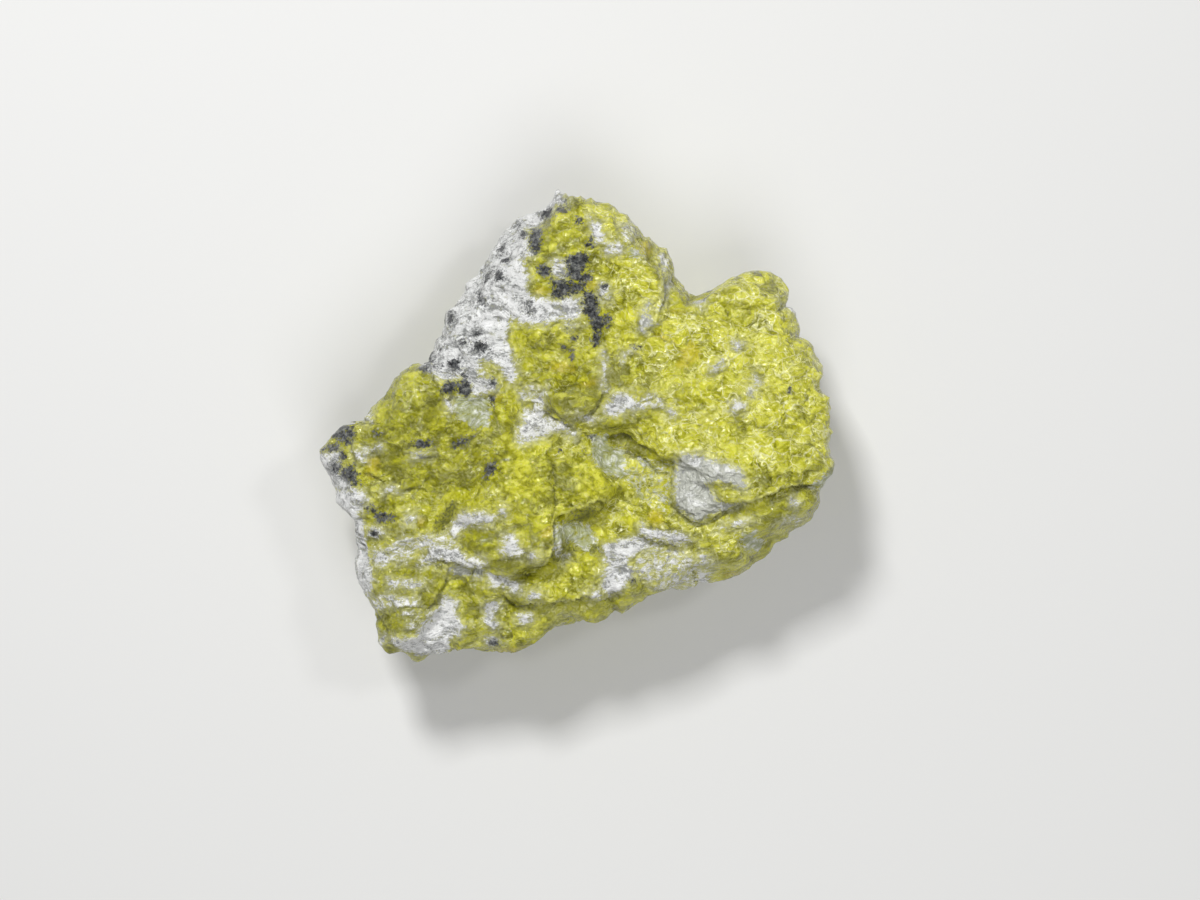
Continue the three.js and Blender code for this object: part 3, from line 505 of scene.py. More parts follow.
SPOTS: dict[Mineral, tuple[Spot, ...]] = {
    Mineral.WHITE: (
        Spot(33.5, 17, 1.3, 0.9), Spot(33.6, 4, 1.4, 1.2), Spot(-10.7, -40.3, 1.5, 1.2),
        Spot(-9, -35.3, 1.4, 1.1), Spot(-17.8, -45.1, 1.5, 0.9), Spot(4, -35.2, 1.5, 0.9),
        Spot(16.4, 4.4, 1.2, 0.8), Spot(20.5, -28.5, 1.2, 1.1), Spot(20.8, -32, 1.2, 1.6),
        Spot(26.8, -28, 1.1, 1), Spot(26.6, -32.2, 1.3, 1.7), Spot(26, 26.6, 1, 1.4),
        Spot(44.9, 24.6, 1.6, 0.7, -25), Spot(37.6, 9, 0.6, 1.2), Spot(36.2, 7, 0.7, 0.7),
        Spot(-17.5, 8.4, 1.3, 1.2), Spot(-26.4, 4.4, 1, 1.3), Spot(-32.5, -6, 1.4, 0.9),
        Spot(-38.5, -13.5, 1.1, 0.6), Spot(-34.8, -19.4, 1, 1.2), Spot(-41, -45, 1.1, 0.8),
        Spot(-34.3, -41.8, 0.9, 0.8), Spot(-34, -39, 1.2, 0.5), Spot(-41.8, -22, 1.4, 1.1),
        Spot(-3.5, -24.9, 0.8, 0.7), Spot(-2.5, -26.9, 0.8, 1), Spot(45.2, -20, 1.7, 0.8, 10),
        Spot(-15, -18, 0.9, 1), Spot(-18, -19.5, 1, 0.8), Spot(-8.8, -26.8, 0.9, 0.7),
        Spot(2, 1.4, 1.6, 0.6, -10), Spot(-43.8, 1.5, 0.8, 1), Spot(-1.6, 20.9, 1, 0.5),
        Spot(45.6, -16, 0.9, 1), Spot(33, -20.5, 2, 0.7, 10), Spot(24.6, -7.8, 1.6, 1.2),
    ),
    Mineral.CREAM: (
        Spot(-11, 42.8, 1.3, 0.8), Spot(38, 26.6, 2, 1.4), Spot(33.5, 14.4, 1.6, 0.5),
        Spot(46.2, 22.3, 1.6, 1.4), Spot(-9.3, 31.2, 0.6, 2.6), Spot(50, 8, 1.2, 2.6),
        Spot(-22, 27.5, 0.6, 0.6), Spot(3.5, -0.9, 1.6, 0.6), Spot(-24, 27.3, 0.8, 0.8),
    ),
    # Mossy dark green spots; the long one below the right slab's foot is painted shadow.
    Mineral.MOSS_AND_SHADE: (
        Spot(-4.3, -27.3, 0.9, 0.9), Spot(-1.4, -25.6, 1.1, 0.7), Spot(-28.6, -28.5, 1, 0.6),
        Spot(24.8, -31.5, 0.6, 1.2), Spot(1.5, -18.8, 2.6, 0.9, 20), Spot(3.6, -25.7, 0.8, 0.9),
    ),
    Mineral.DARK: (
        Spot(-3.5, 46.6, 0.6, 0.6), Spot(-2.4, 47, 0.5, 0.5), Spot(-11.5, 40.5, 1.2, 1),
        Spot(-12.5, 42.2, 0.7, 0.6), Spot(-14, 43.4, 1.1, 0.8), Spot(-15.8, 37.5, 1, 0.9),
        Spot(-16, 34.5, 0.9, 0.9), Spot(-16.4, 31.4, 1.1, 1.3), Spot(-6.5, 32.4, 1.3, 1.3),
        Spot(0.6, 43, 0.7, 0.7), Spot(-10.1, 25.6, 0.4, 0.4), Spot(-9.6, 24.1, 0.7, 0.4),
        Spot(5.8, 28.9, 0.6, 0.5), Spot(-26.8, 23, 1.4, 1.6), Spot(-20.7, 28, 0.6, 1),
        Spot(-20.1, 26.3, 0.9, 0.8), Spot(-18.6, 30.6, 1.2, 1.6), Spot(-21, 19.2, 1, 0.8),
        Spot(-20.1, 16.4, 1.8, 1.5), Spot(-23.8, 17.5, 0.7, 0.4), Spot(-29, 15.8, 0.6, 0.7),
        Spot(-30.7, 14, 0.8, 1.5), Spot(-28.2, 12.6, 0.9, 0.6), Spot(-25.7, 12.6, 1.3, 1.3),
        Spot(-23.4, 10.7, 0.5, 0.5), Spot(-31.8, 12, 0.8, 0.6), Spot(-17.3, 9, 0.7, 0.7),
        Spot(-17.5, 5.6, 0.5, 0.9), Spot(-2.7, 16.5, 0.6, 0.5), Spot(-0.6, 18, 0.5, 0.5),
        Spot(-1.3, 15.8, 0.4, 0.3), Spot(-0.9, 14.3, 0.3, 0.3), Spot(-2, 20, 0.25, 0.25),
        Spot(12.6, 16.4, 0.6, 0.4), Spot(1.4, -5, 0.4, 0.3), Spot(-3.5, -5.3, 0.3, 0.25),
        Spot(4, -2.3, 0.4, 0.25), Spot(44.4, 7.5, 0.3, 0.3),
        Spot(-32.3, -3.8, 1.7, 0.9), Spot(-24, -3.3, 1.7, 0.7, 40),
        Spot(-18.2, -9.4, 1.7, 0.8, 60), Spot(-17.4, -8.4, 0.8, 1), Spot(-42, -22.3, 0.6, 0.5),
        Spot(-49.3, -6.5, 0.6, 1), Spot(-41.5, -1.5, 0.4, 0.3),
        Spot(12, -32.2, 0.4, 0.3), Spot(-17.6, -45.4, 0.7, 0.4),
    ),
    Mineral.OLIVE: (
        Spot(-6.2, 40.8, 1.7, 2.7, 10), Spot(-0.7, 46.4, 0.9, 2.2, 10), Spot(2.1, 42.4, 0.8, 1.7),
        Spot(-0.6, 38.2, 3.3, 1.3, 25), Spot(-5.8, 35.7, 3.4, 0.9, 20),
        Spot(3.9, 34, 1.3, 2.4, -10),
        Spot(7.8, 39.8, 1.5, 1.5), Spot(11, 37, 1.4, 1.8), Spot(16.4, 33.6, 0.9, 3, 8),
        Spot(1.2, 20.8, 2.1, 1.5, 10), Spot(-9.5, 18.4, 1.2, 1), Spot(-7, 17.2, 2.2, 1.4, 10),
        Spot(8.7, 10.4, 2.7, 2.5, -20), Spot(13.4, 7.3, 1.2, 1), Spot(-11.5, 9.2, 1.4, 0.6, -50),
        Spot(-15, 0, 3, 3.6), Spot(-13.5, -5.7, 2.3, 0.6, 5), Spot(9.5, 0.9, 4, 1.2, 18),
        Spot(22.3, 26.5, 2.4, 2), Spot(31.5, 23, 0.9, 0.8), Spot(33, 28.7, 2.4, 0.9, 15),
        Spot(41, 29.5, 1.5, 1.2), Spot(36, 22.5, 2, 1.4), Spot(22, 6.8, 1.5, 2.3, -15),
        Spot(28.5, 3.3, 1.3, 1), Spot(25, 4.2, 2, 1.2), Spot(36.2, 13.5, 0.9, 1.9),
        Spot(46.5, 11, 1.5, 1.2), Spot(44, -1.3, 2.1, 1.3), Spot(41, -1.6, 1.2, 0.9),
        Spot(46.7, 2.5, 1, 1.6), Spot(34.2, -0.6, 0.8, 1.9, 20), Spot(38.5, -11, 2, 2.4),
        Spot(43, -9, 2, 2.4), Spot(47.6, -7.8, 2.1, 1.9), Spot(50.6, -8, 1.4, 1.3),
        Spot(36, -17.5, 3.6, 1.5, 12), Spot(48.6, -18, 1.5, 1.1, 40), Spot(26, -24, 2.3, 2.4),
        Spot(30.5, -27.5, 2.1, 1.5, 20), Spot(33, -29.5, 2, 1.5, 10), Spot(28.2, -29.3, 1, 1),
        Spot(37.3, -27.3, 1.6, 1.2, 20), Spot(42.3, -22.8, 1.2, 1), Spot(-6.5, -15, 1.3, 1.2),
        Spot(-6.3, -21.5, 1.5, 1.6), Spot(-11.5, -15.5, 2, 1.4), Spot(-11, -19.5, 2, 1.5),
        Spot(-7, -24.4, 2.1, 1.2), Spot(-2.8, -8.6, 1.3, 1.6), Spot(-2, -12.2, 2, 1.8),
        Spot(8, -13.6, 1.8, 1.5, -20), Spot(9, -17.6, 1, 0.6, -20), Spot(12.5, -18.5, 0.9, 0.6),
        Spot(7.8, -21, 0.9, 0.7), Spot(12.5, -33.5, 1.6, 1.3), Spot(16, -30, 1.3, 1),
        Spot(-20.5, -23.5, 4.1, 3.2, -8), Spot(-43.6, -3.2, 1.4, 1.3), Spot(-38.5, -7.6, 3.6, 2, 5),
        Spot(-36.2, -13.3, 2.4, 0.7, 25), Spot(-39.5, -16.3, 1.5, 0.9), Spot(-37.5, -22, 1.2, 1.8),
        Spot(-32.5, -19.6, 1.2, 1.5), Spot(-44.3, -19, 0.7, 0.8), Spot(-22, -33.6, 2.3, 1.5),
        Spot(-36.5, -42.7, 2.5, 1.2, -5), Spot(-39.5, -38.5, 2, 1.3), Spot(-38, -35, 3, 0.8),
        Spot(-41.3, -42.3, 1.1, 2.6, 12), Spot(-39, -47, 1.3, 0.8), Spot(-34, -49.4, 1.6, 0.6),
        Spot(-21.5, -38.6, 2, 1.4), Spot(-13.5, -36, 2, 0.9), Spot(-12, -38, 2, 0.8),
        Spot(-17, -43.8, 1.5, 0.8), Spot(-26, 1.3, 1.9, 0.9, 15), Spot(-28, -1.9, 1.2, 0.5),
        Spot(-26, -2.7, 1.4, 0.7), Spot(-35.3, 4, 1.6, 1.2), Spot(-38, 6.5, 1.5, 1.2, 30),
        Spot(-30, 6.8, 2, 1.2),
    ),
    Mineral.BRIGHT: (
        Spot(-3, 18.3, 1.1, 1), Spot(17.5, 20.8, 1.4, 1.1), Spot(42, 8, 1.9, 1.6),
        Spot(38, 0.8, 1.3, 1), Spot(2.5, -27.8, 1.6, 1.4), Spot(0.3, -30.3, 2.1, 1.3),
        Spot(5.2, -22.3, 1.1, 1.2), Spot(-24, -44.6, 2.5, 1.6, 12), Spot(-8, -41.5, 2.5, 1, 15),
        Spot(-18.5, -47, 1.6, 0.8), Spot(-7, -18.2, 1.4, 1), Spot(-7.5, -4.3, 2, 1),
        Spot(18, -12.8, 1.3, 1.2), Spot(15.8, 3, 1.6, 1.6), Spot(-20, -30.5, 0.8, 0.5),
    ),
    Mineral.AMBER: (
        Spot(-7.3, 28.1, 1.9, 1), Spot(3.3, 29.3, 1.5, 1), Spot(14.3, 37.3, 1.6, 2),
        Spot(2.8, 8.8, 1.8, 0.9, 15), Spot(23.5, 15, 2.4, 2.1), Spot(22, 13, 1.5, 1.2),
        Spot(-42.5, -8, 1.6, 1.8), Spot(-43.5, -10.3, 1.5, 0.6, -20), Spot(16.5, -19.2, 1.8, 1.7),
        Spot(-6, -22, 1.2, 1.2), Spot(32.5, -31, 1.6, 0.6, 10), Spot(-16.8, 6, 1.3, 1),
        Spot(-3, 12.3, 2.5, 1.4), Spot(18.5, 18.1, 1.7, 0.5, -25), Spot(20.5, 24, 1.4, 0.5),
        Spot(-32.5, -20, 1, 1), Spot(-14, -47, 3.5, 0.7),
    ),
}

VEINS = (
    Vein(Mineral.WHITE, 0.4, ((18.6, 31), (18.6, 28), (18.2, 26), (17.4, 24.4))),
    Vein(Mineral.WHITE, 0.6, ((28, 11.5), (30, 12.8))),
    Vein(Mineral.WHITE, 0.5, ((14, 5.4), (16.5, 6.4), (17.3, 5), (18.6, 3.5), (20.2, 2.4))),
    Vein(Mineral.WHITE, 0.4, ((5.6, 15.5), (5.8, 12), (5.6, 9.5), (6.3, 7.5))),
    Vein(Mineral.WHITE, 0.4, ((-45.5, -5.2), (-43, -5), (-41, -4.2))),
    Vein(Mineral.WHITE, 0.6, ((-14.3, 13.5), (-13.3, 9))),
    Vein(Mineral.WHITE, 0.3, ((9.3, 13.7), (10.5, 14.8), (12, 15.8))),
    Vein(Mineral.CREAM, 0.4, (
        (19.5, 8.8), (21.5, 9.3), (23, 10), (25, 11.3), (27, 11.6), (28.5, 12),
    )),
    Vein(Mineral.CREAM, 0.3, ((30, 12.8), (32, 14.2), (35, 14.5))),
    Vein(Mineral.CREAM, 0.5, ((37.8, 17.2), (38, 15.3), (39, 14), (40.5, 13), (41.7, 12.2))),
    Vein(Mineral.CREAM, 0.35, ((25.5, 19.8), (25.7, 16.5), (26, 15.2))),
    Vein(Mineral.CREAM, 0.4, ((42.3, 22.7), (40.6, 22), (39.5, 20.6), (38.7, 18.5))),
    Vein(Mineral.CREAM, 0.4, ((12, 13.6), (12, 11), (12.9, 8.4))),
    Vein(Mineral.CREAM, 0.4, ((33.6, 2.9), (36, 3.2), (38.5, 4.3), (42, 4.8))),
    Vein(Mineral.CREAM, 0.4, ((24, 1.6), (27, 2), (31, 2.5), (34, 2.3))),
    Vein(Mineral.CREAM, 0.4, ((-14.8, -16), (-15, -18.5), (-13.8, -20.5))),
    Vein(Mineral.CREAM, 0.4, ((22.5, 9.6), (20.8, 8), (20.5, 5.5), (22.5, 4))),
    Vein(Mineral.CREAM, 0.4, ((48.5, 10), (48.8, 6), (48.2, 3))),
    Vein(Mineral.CREAM, 0.35, ((-24.5, -24.5), (-22.5, -26.8), (-19, -26.9), (-16.8, -24.5))),
    Vein(Mineral.CREAM, 0.35, ((-26.5, -46), (-23.5, -46.8), (-21, -46.2))),
    Vein(Mineral.CREAM, 0.35, ((6.2, 9.7), (7.2, 8), (9.5, 7.6))),
)


@dataclass(frozen=True)
class Ledge:
    """A sharp step or crease in the upper face, along a line whose left side is the higher one."""

    name: str
    line: tuple[Place, ...]
    step: float
    groove: float = 0.5
    reach: float = 1.1
    taper: float = 2.0
    groove_offset: float = 0.4
    groove_width: float = 0.55

    def add_lift(self, places: np.ndarray, lift: np.ndarray) -> None:
        """Raises the skin on the ledge and sinks it below.

        Args:
            places: X and Y of each place, in millimetres.
            lift: Millimetres up at each place.
        """
        line = Line(self.line)
        near = line.near(places, 4.0 * self.reach)
        distance, left, end = line.measure(places[near])
        fade = np.clip(end / self.taper, 0.0, 1.0)
        side = 0.5 * self.step * np.exp(-distance / self.reach) * fade
        across = (distance - self.groove_offset) / self.groove_width
        foot = side + self.groove * np.exp(-(across**2)) * fade
        lift[near] += np.where(left > 0.0, side, -foot)


LEDGES = (
    Ledge("between the slabs", ((-4.6, -19), (-4.6, -12), (-4.7, -6)), 0.6, 0.2),
    Ledge("open edge of the left slab", (
        (-19, -30.4), (-15, -30.8), (-12, -30.7), (-9, -30.2), (-7, -29), (-5.5, -27),
        (-4.6, -24.5), (-4.6, -18.5),
    ), 1.6, 0.5, 1.3),
    Ledge("foot of the right slab", (
        (-4.5, -19.1), (-2, -18.1), (1, -17), (4.5, -15.7), (6.5, -15.6), (7.5, -15),
    ), 1.5, 0.8),
    Ledge("top of the slab's rim", (
        (-18, -28), (-14, -27.2), (-10.5, -26.9), (-8, -27.3),
    ), 0.3, 0.3),
    Ledge("foot of the terrace", (
        (-16, -35), (-12.5, -37.2), (-7, -36.8), (-3, -36.5), (0, -36.4), (2, -35.6), (4.5, -36.6),
        (6.5, -36.2), (9, -34.7),
    ), 1.1, 0.7),
    Ledge("foot of the wedge", (
        (5.5, -1.8), (6.8, -2), (8.7, -1.3), (10, -1.2), (12.3, -2.9),
    ), 0.9, 0.6),
    Ledge("edge of the lobe", ((12, -3.2), (15, -4.5), (18, -6), (20.5, -7.7)), 1.0, 0.3),
    Ledge("foot of the lobe's flank", (
        (7.5, -4.5), (11, -5.2), (14, -6.8), (17, -9.5), (20, -9.2),
    ), 0.8, 0.5),
    Ledge("foot of the silver face", (
        (20.2, -16.8), (22, -18.4), (23.8, -19.8), (25.6, -20.3), (27.2, -20), (29, -19),
        (30.8, -17.9), (33, -17), (35.5, -16.2),
    ), 1.1, 0.4),
    Ledge("overhang of the lobe", (
        (29, -15.3), (32, -15.8), (35, -15.6), (38, -15.3), (39, -14.7), (40.5, -14.1), (42, -13.4),
        (43.8, -12.4), (45.5, -12.3), (48.5, -12.2), (52, -9.8), (54.5, -8),
    ), 1.5, 1.0),
    Ledge("fold of the silver face", (
        (21.5, -12.5), (24, -11.8), (27, -12.6), (28.6, -15),
    ), 0.7, 0.4),
    Ledge("lower fold of the silver face", ((22.5, -17), (25, -16), (28, -16.4)), 0.5, 0.3),
    Ledge("below the silver face", ((28, -12), (30, -12.3), (33.5, -12.7), (35, -13.7)), 0.6, 0.4),
    Ledge("foot of the middle nodule", (
        (-6.8, 4.2), (-6.4, 3.2), (-5, 1.9), (-3, 0.8), (-1, 0.6), (1.5, 2.2), (3, 3.1), (4.7, 4.9),
        (5.3, 8),
    ), 1.0, 0.6),
    Ledge("head of the middle nodule", (
        (4.8, 10.8), (3.5, 11), (0, 9.3), (-3, 8.1), (-6.2, 5.2),
    ), 0.3, 0.3),
    Ledge("crumpled flap", ((0.5, -0.3), (3, -1.7), (5.2, -2)), 0.5, 0.4),
    Ledge("foot of the bar", (
        (12.6, -22.9), (14.5, -23.7), (17, -24.5), (20, -24.9), (21.8, -25.7), (23.2, -26.7),
    ), 1.0, 0.6),
    Ledge("head of the bar", (
        (23.5, -22.3), (21.5, -21.6), (18, -21.4), (15.3, -21.1), (14, -20.2),
    ), 0.4, 0.3),
    Ledge("foot of the fold", (
        (-33, -29.4), (-31, -28.9), (-29.6, -27.9), (-28.5, -28.2), (-26, -28.6), (-23, -29.3),
        (-20, -29.8), (-18.7, -28.8),
    ), 1.0, 0.5),
    Ledge("mossy crease", ((-30, -22), (-27.3, -19), (-25.3, -15.5)), 0.3, 0.6),
    Ledge("crack below the lobe", ((38.8, -15.9), (38.8, -14.3)), 0.2, 0.8, 1.1, 0.6),
    Ledge("bevel of the crown", (
        (16.5, 21.5), (17.8, 25), (18.3, 28), (18, 31), (17.5, 33), (17, 35.5), (17.3, 38),
    ), 0.5, 0.3),
    Ledge("crease of the lobe", ((16.5, 20), (18.5, 18.4), (20.5, 17.4)), 0.6, 0.6),
    Ledge("head of the left slab", ((-16.5, -6.6), (-13.5, -6.4), (-11, -5.5)), 0.6, 0.5),
    Ledge("valley", ((-17, 6.5), (-16.6, 3), (-15.2, -1.5)), 0.2, 0.5),
    Ledge("left crease", ((-44.8, -9.3), (-42, -10.5), (-39.3, -12)), 0.6, 0.5),
    Ledge("left leaf", ((-37.8, -14.5), (-34.5, -12.9), (-32.2, -11.4)), 0.4, 0.5),
    Ledge("shoulder crease", ((-33.5, -5.8), (-29, -6.4), (-26, -7)), 0.5, 0.5),
    Ledge("shoulder fold", ((-19, -1.2), (-21.2, -2.1), (-22.8, -4.6), (-26, -7.1)), 0.6, 0.4),
    Ledge("lower left nodule", (
        (-31.5, -38.5), (-30, -36.8), (-28, -34), (-27, -31.5), (-27.2, -29.5), (-28.5, -28.2),
    ), 0.9, 0.2),
    Ledge("lower left crease", (
        (-42.5, -38.8), (-40.2, -41.7), (-39.4, -43.6), (-40.6, -45.4),
    ), 0.3, 0.6),
    Ledge("edge of the left tip", ((-46.6, 1), (-47, -4), (-46, -8), (-45.7, -12.5)), 0.8, 0.4),
    Ledge("left rim", (
        (-44.5, -14.3), (-43.3, -16), (-45, -18.3), (-44.3, -21.5), (-44.2, -25), (-43.3, -28),
        (-42.8, -31), (-44.2, -36),
    ), 0.7, 0.3),
    Ledge("foot of the crown", (
        (-31.2, 13.6), (-30, 11), (-28.8, 8.5), (-27.5, 6), (-22, 5.6), (-18, 6), (-16.4, 8),
        (-15.2, 10.4),
    ), 1.0, 0.5),
    Ledge("foot of the arm", ((-14, 20.3), (-10, 20.8), (-6, 21), (-3, 21.8)), 0.5, 0.3),
    Ledge("foot of the bottom nodule", ((-27, -46.6), (-23.5, -47), (-20.8, -46.5)), 0.6, 0.3),
)

RIM = (
    (-4.5, 50.2), (-3.6, 50.2), (-3.2, 49.4), (-2.4, 49.5), (-1.8, 48.7), (-0.8, 48.6), (0.2, 48.2),
    (0.8, 48.6), (1.8, 47.9), (3, 48.2), (4, 47.4), (5.5, 47.1), (7, 47.1), (8, 46.4), (9.2, 45.2),
    (10.5, 44.9), (12, 43.1), (13.5, 41.2), (14.4, 40.2), (15.3, 40.1), (16.2, 39.1), (17.3, 38),
    (19, 37.7), (19.4, 36.5), (20.2, 35), (20.6, 34), (20.8, 31.8), (21.8, 30.8), (22.7, 29.8),
    (22.9, 29.1), (23.8, 28.7), (25, 27.6), (25.8, 27.7), (27, 28.5), (29, 29.2), (30.5, 30.2),
    (31.5, 31), (33, 31.9), (35, 32.6), (37, 33), (39, 33.1), (41, 32.7), (43.3, 31.3), (44.2, 30),
    (44.8, 28.8), (44.8, 26.8), (44.3, 25.3), (45.5, 24.9), (46.5, 24.2), (46.7, 22.8),
    (47.3, 21.5), (47.5, 20.5), (47.3, 19.1), (48, 18.7), (49.2, 18), (50.1, 16.8), (50.5, 15.2),
    (51.1, 14), (51.8, 12.8), (52.2, 11.5), (52.1, 10.5), (51.6, 9.8), (51.6, 8.5), (52.2, 7.2),
    (52.8, 6.4), (53.5, 6), (53.4, 4.7), (53.8, 3.8), (53.5, 2.5), (53.2, 1), (53.1, -0.2),
    (54, -1.2), (53.4, -2.2), (53.1, -3.5), (53.3, -5), (53.8, -6.5), (54.4, -7.6), (54.2, -8.8),
    (53.8, -10), (52.6, -11.5), (51.7, -13), (51.3, -14.3), (51.4, -16), (51.1, -17.2),
    (50.4, -18.3), (49.9, -19.6), (49, -20.3), (48, -21.2), (46.2, -21.9), (45.2, -22.6),
    (44.8, -23.7), (43.3, -24.5), (42.2, -24.8), (41.7, -25.6), (41.1, -26.8), (40, -27.9),
    (38.5, -28.7), (37.3, -29.6), (36.8, -30.3), (35.5, -31.1), (33.5, -32), (31.5, -32.7),
    (29.5, -33.1), (27.5, -33.3), (26, -33.2), (24.8, -34.1), (22, -34.8), (20, -34.6), (17.5, -35),
    (15, -35.8), (13.5, -37.2), (11.5, -38.7), (9.5, -39.8), (8, -39), (6.5, -40.6), (4, -41.6),
    (1.5, -41.2), (-1, -42), (-3, -42.3), (-4.8, -42.7), (-6, -43.4), (-7.5, -44.9), (-9, -46.1),
    (-11, -47.1), (-13, -47.9), (-15, -48.1), (-17, -47.9), (-19, -48), (-20.8, -47.6),
    (-22, -47.3), (-24, -47.3), (-25, -47.7), (-26.2, -47.3), (-26.8, -48), (-28.5, -48.2),
    (-30.5, -48.7), (-31.9, -49.1), (-32.6, -49.8), (-34, -50.1), (-35.3, -49.4), (-36, -48.3),
    (-37, -47.7), (-38, -48.1), (-39.5, -48.3), (-40.7, -47.4), (-41.6, -46), (-42.1, -44.5),
    (-42.3, -42.5), (-42.5, -40.5), (-42.7, -39), (-43.6, -37.5), (-44.9, -35.5), (-46.1, -33.5),
    (-46.9, -31.5), (-47.1, -29), (-47.1, -28), (-46.7, -26), (-47, -24), (-46.9, -21),
    (-47.3, -20), (-48.1, -18.7), (-49.9, -17.3), (-50.9, -16), (-51.1, -14.5), (-51.2, -13.5),
    (-52, -12), (-53, -9.7), (-53.9, -8.2), (-54.4, -6.8), (-54.4, -5), (-53.4, -3.8),
    (-52.1, -2.4), (-50.9, -0.9), (-49.6, 0.3), (-48, 0.9), (-46.5, 0.6), (-45.5, 1.1),
    (-44.1, 2.4), (-43.1, 4.1), (-41.6, 5.6), (-40.1, 6.9), (-39.3, 8.4), (-38.6, 9.9),
    (-37.4, 11.3), (-35.6, 12.7), (-34, 13.3), (-32.5, 13.5), (-31.3, 13.4), (-30.9, 15),
    (-30.3, 16.3), (-30.1, 17.5), (-29.8, 18.4), (-28.7, 19.1), (-28.4, 20.5), (-28, 21.5),
    (-28.1, 23), (-27.6, 24.4), (-26.1, 25.1), (-25.6, 26.1), (-24.6, 27.4), (-23.8, 28.4),
    (-23.6, 30), (-22.8, 31.1), (-21.3, 31.9), (-20.8, 33), (-19.8, 34.5), (-18.7, 36.5),
    (-17.5, 38.6), (-16.4, 40.4), (-15.3, 41.9), (-13.9, 43.1), (-12.9, 44.3), (-11, 45),
    (-9.5, 45.3), (-7, 46.1), (-6.3, 46.9), (-5.3, 48.1), (-5.1, 49.3),
)


def smooth(value: np.ndarray, low: float, high: float) -> np.ndarray:
    """Rises smoothly from 0 at low to 1 at high."""
    t = np.clip((value - low) / (high - low), 0.0, 1.0)
    return t * t * (3.0 - 2.0 * t)


def waves(points: np.ndarray, size: float, shift: float = 0.0) -> np.ndarray:
    """Soft noise in the solid.

    Args:
        points: Places in millimetres.
        size: Width of a lump in millimetres.
        shift: Sets one pattern apart from another.

    Returns:
        The noise at each point, from about -1 to 1.
    """
    scaled = points / size + shift
    return np.array([noise.noise(Vector(p)) for p in scaled])


def pebbles(points: np.ndarray, size: float, shift: float = 0.0) -> np.ndarray:
    """Rounded grains with creases between them.

    Args:
        points: Places in millimetres.
        size: Width of a grain in millimetres.
        shift: Sets one pattern apart from another.

    Returns:
        Height at each point, 1 in the middle of a grain and 0 in the creases.
    """
    fullness, roundness = 1.6, 0.6
    scaled = points / size + shift
    gaps = np.array([noise.voronoi(Vector(p))[0][:2] for p in scaled])
    return np.clip(fullness * (gaps[:, 1] - gaps[:, 0]), 0.0, 1.0) ** roundness


def facets(points: np.ndarray, size: float, shift: float = 0.0) -> np.ndarray:
    """Flat facets, each tilted its own way, with narrow creases between them.

    Args:
        points: Places in millimetres.
        size: Width of a facet in millimetres.
        shift: Sets one pattern apart from another.

    Returns:
        Height at each point, from about -0.5 to 0.5.
    """
    crease, rise, spread = 0.25, 0.3, 31.0
    scaled = points / size + shift
    nearest = [noise.voronoi(Vector(p)) for p in scaled]
    centres = np.array([places[0] for _, places in nearest])
    gaps = np.array([reaches[1] - reaches[0] for reaches, _ in nearest])
    tilts = np.array([noise.cell_vector(Vector(c) * spread) for c in centres]) - 0.5
    heights = np.einsum("ij,ij->i", tilts, scaled - centres) + rise * tilts[:, 0]
    return heights * smooth(gaps, 0.0, crease)


@dataclass(frozen=True)
class Lumps:
    """Soft noise of a height and a size in millimetres, about a level, and cut off at a most."""

    height: float
    size: float
    shift: float
    level: float = 0.0
    most: float = math.inf

    def at(self, points: np.ndarray) -> np.ndarray:
        """The noise at each point."""
        lumps = self.height * waves(points, self.size, self.shift)
        return np.minimum(lumps + self.level, self.most)


@dataclass(frozen=True)
class Facets:
    """Tilted facets of a height and a size in millimetres."""

    height: float
    size: float
    shift: float = 0.0

    def at(self, points: np.ndarray) -> np.ndarray:
        """The height at each point."""
        return self.height * facets(points, self.size, self.shift)


@dataclass(frozen=True)
class Pebbles:
    """Rounded grains of a height and a size in millimetres."""

    height: float
    size: float
    shift: float = 0.0

    def at(self, points: np.ndarray) -> np.ndarray:
        """The height at each point."""
        return self.height * pebbles(points, self.size, self.shift)


@dataclass(frozen=True)
class Drift:
    """Soft noise that moves places about, by up to a reach, in swirls of a size in millimetres."""

    reach: float
    size: float
    shifts: tuple[float, float, float] = (0.0, 37.3, 71.6)

    def at(self, points: np.ndarray) -> np.ndarray:
        """How far each point moves along X, Y and Z."""
        return self.reach * np.stack([waves(points, self.size, s) for s in self.shifts], axis=1)


@dataclass(frozen=True)
class Fibres:
    """Ridges of matted fibres, which sweep along the skin. Lengths are in millimetres."""

    height: float
    length: float
    width: float
    angle: float = -35.0
    drift: Drift = Drift(3.5, 15.0)
    shift: float = 5.0

    def at(self, points: np.ndarray) -> np.ndarray:
        """The height at each point.

        Args:
            points: Places in millimetres.

        Returns:
            Millimetres, from about minus the height to the height.
        """
        swept = points + self.drift.at(points)
        angle = math.radians(self.angle)
        along = swept[:, 0] * math.cos(angle) + swept[:, 1] * math.sin(angle)
        across = swept[:, 1] * math.cos(angle) - swept[:, 0] * math.sin(angle)
        sides = [along / self.length, across / self.width, swept[:, 2] / self.width]
        return self.height * waves(np.stack(sides, axis=1), 1.0, self.shift)


# Where a mineral shows on the sides, which no patch covers, and how its patches break up there.
SIDES = {
    Mineral.WHITE: Lumps(9.0, 15.0, 3.1, -2.6),
    Mineral.DARK: Lumps(5.0, 6.0, 7.7, -2.7),
    Mineral.MIST: Lumps(6.0, 9.0, 9.3, -2.4),
    Mineral.OLIVE: Lumps(5.0, 7.0, 5.9, -1.8),
    Mineral.CREAM: Lumps(5.0, 8.0, 1.9, 0.0, 0.0),
}
BREAKS = {Mineral.DARK: Lumps(2.6, 2.6, 17.0, -0.7)}


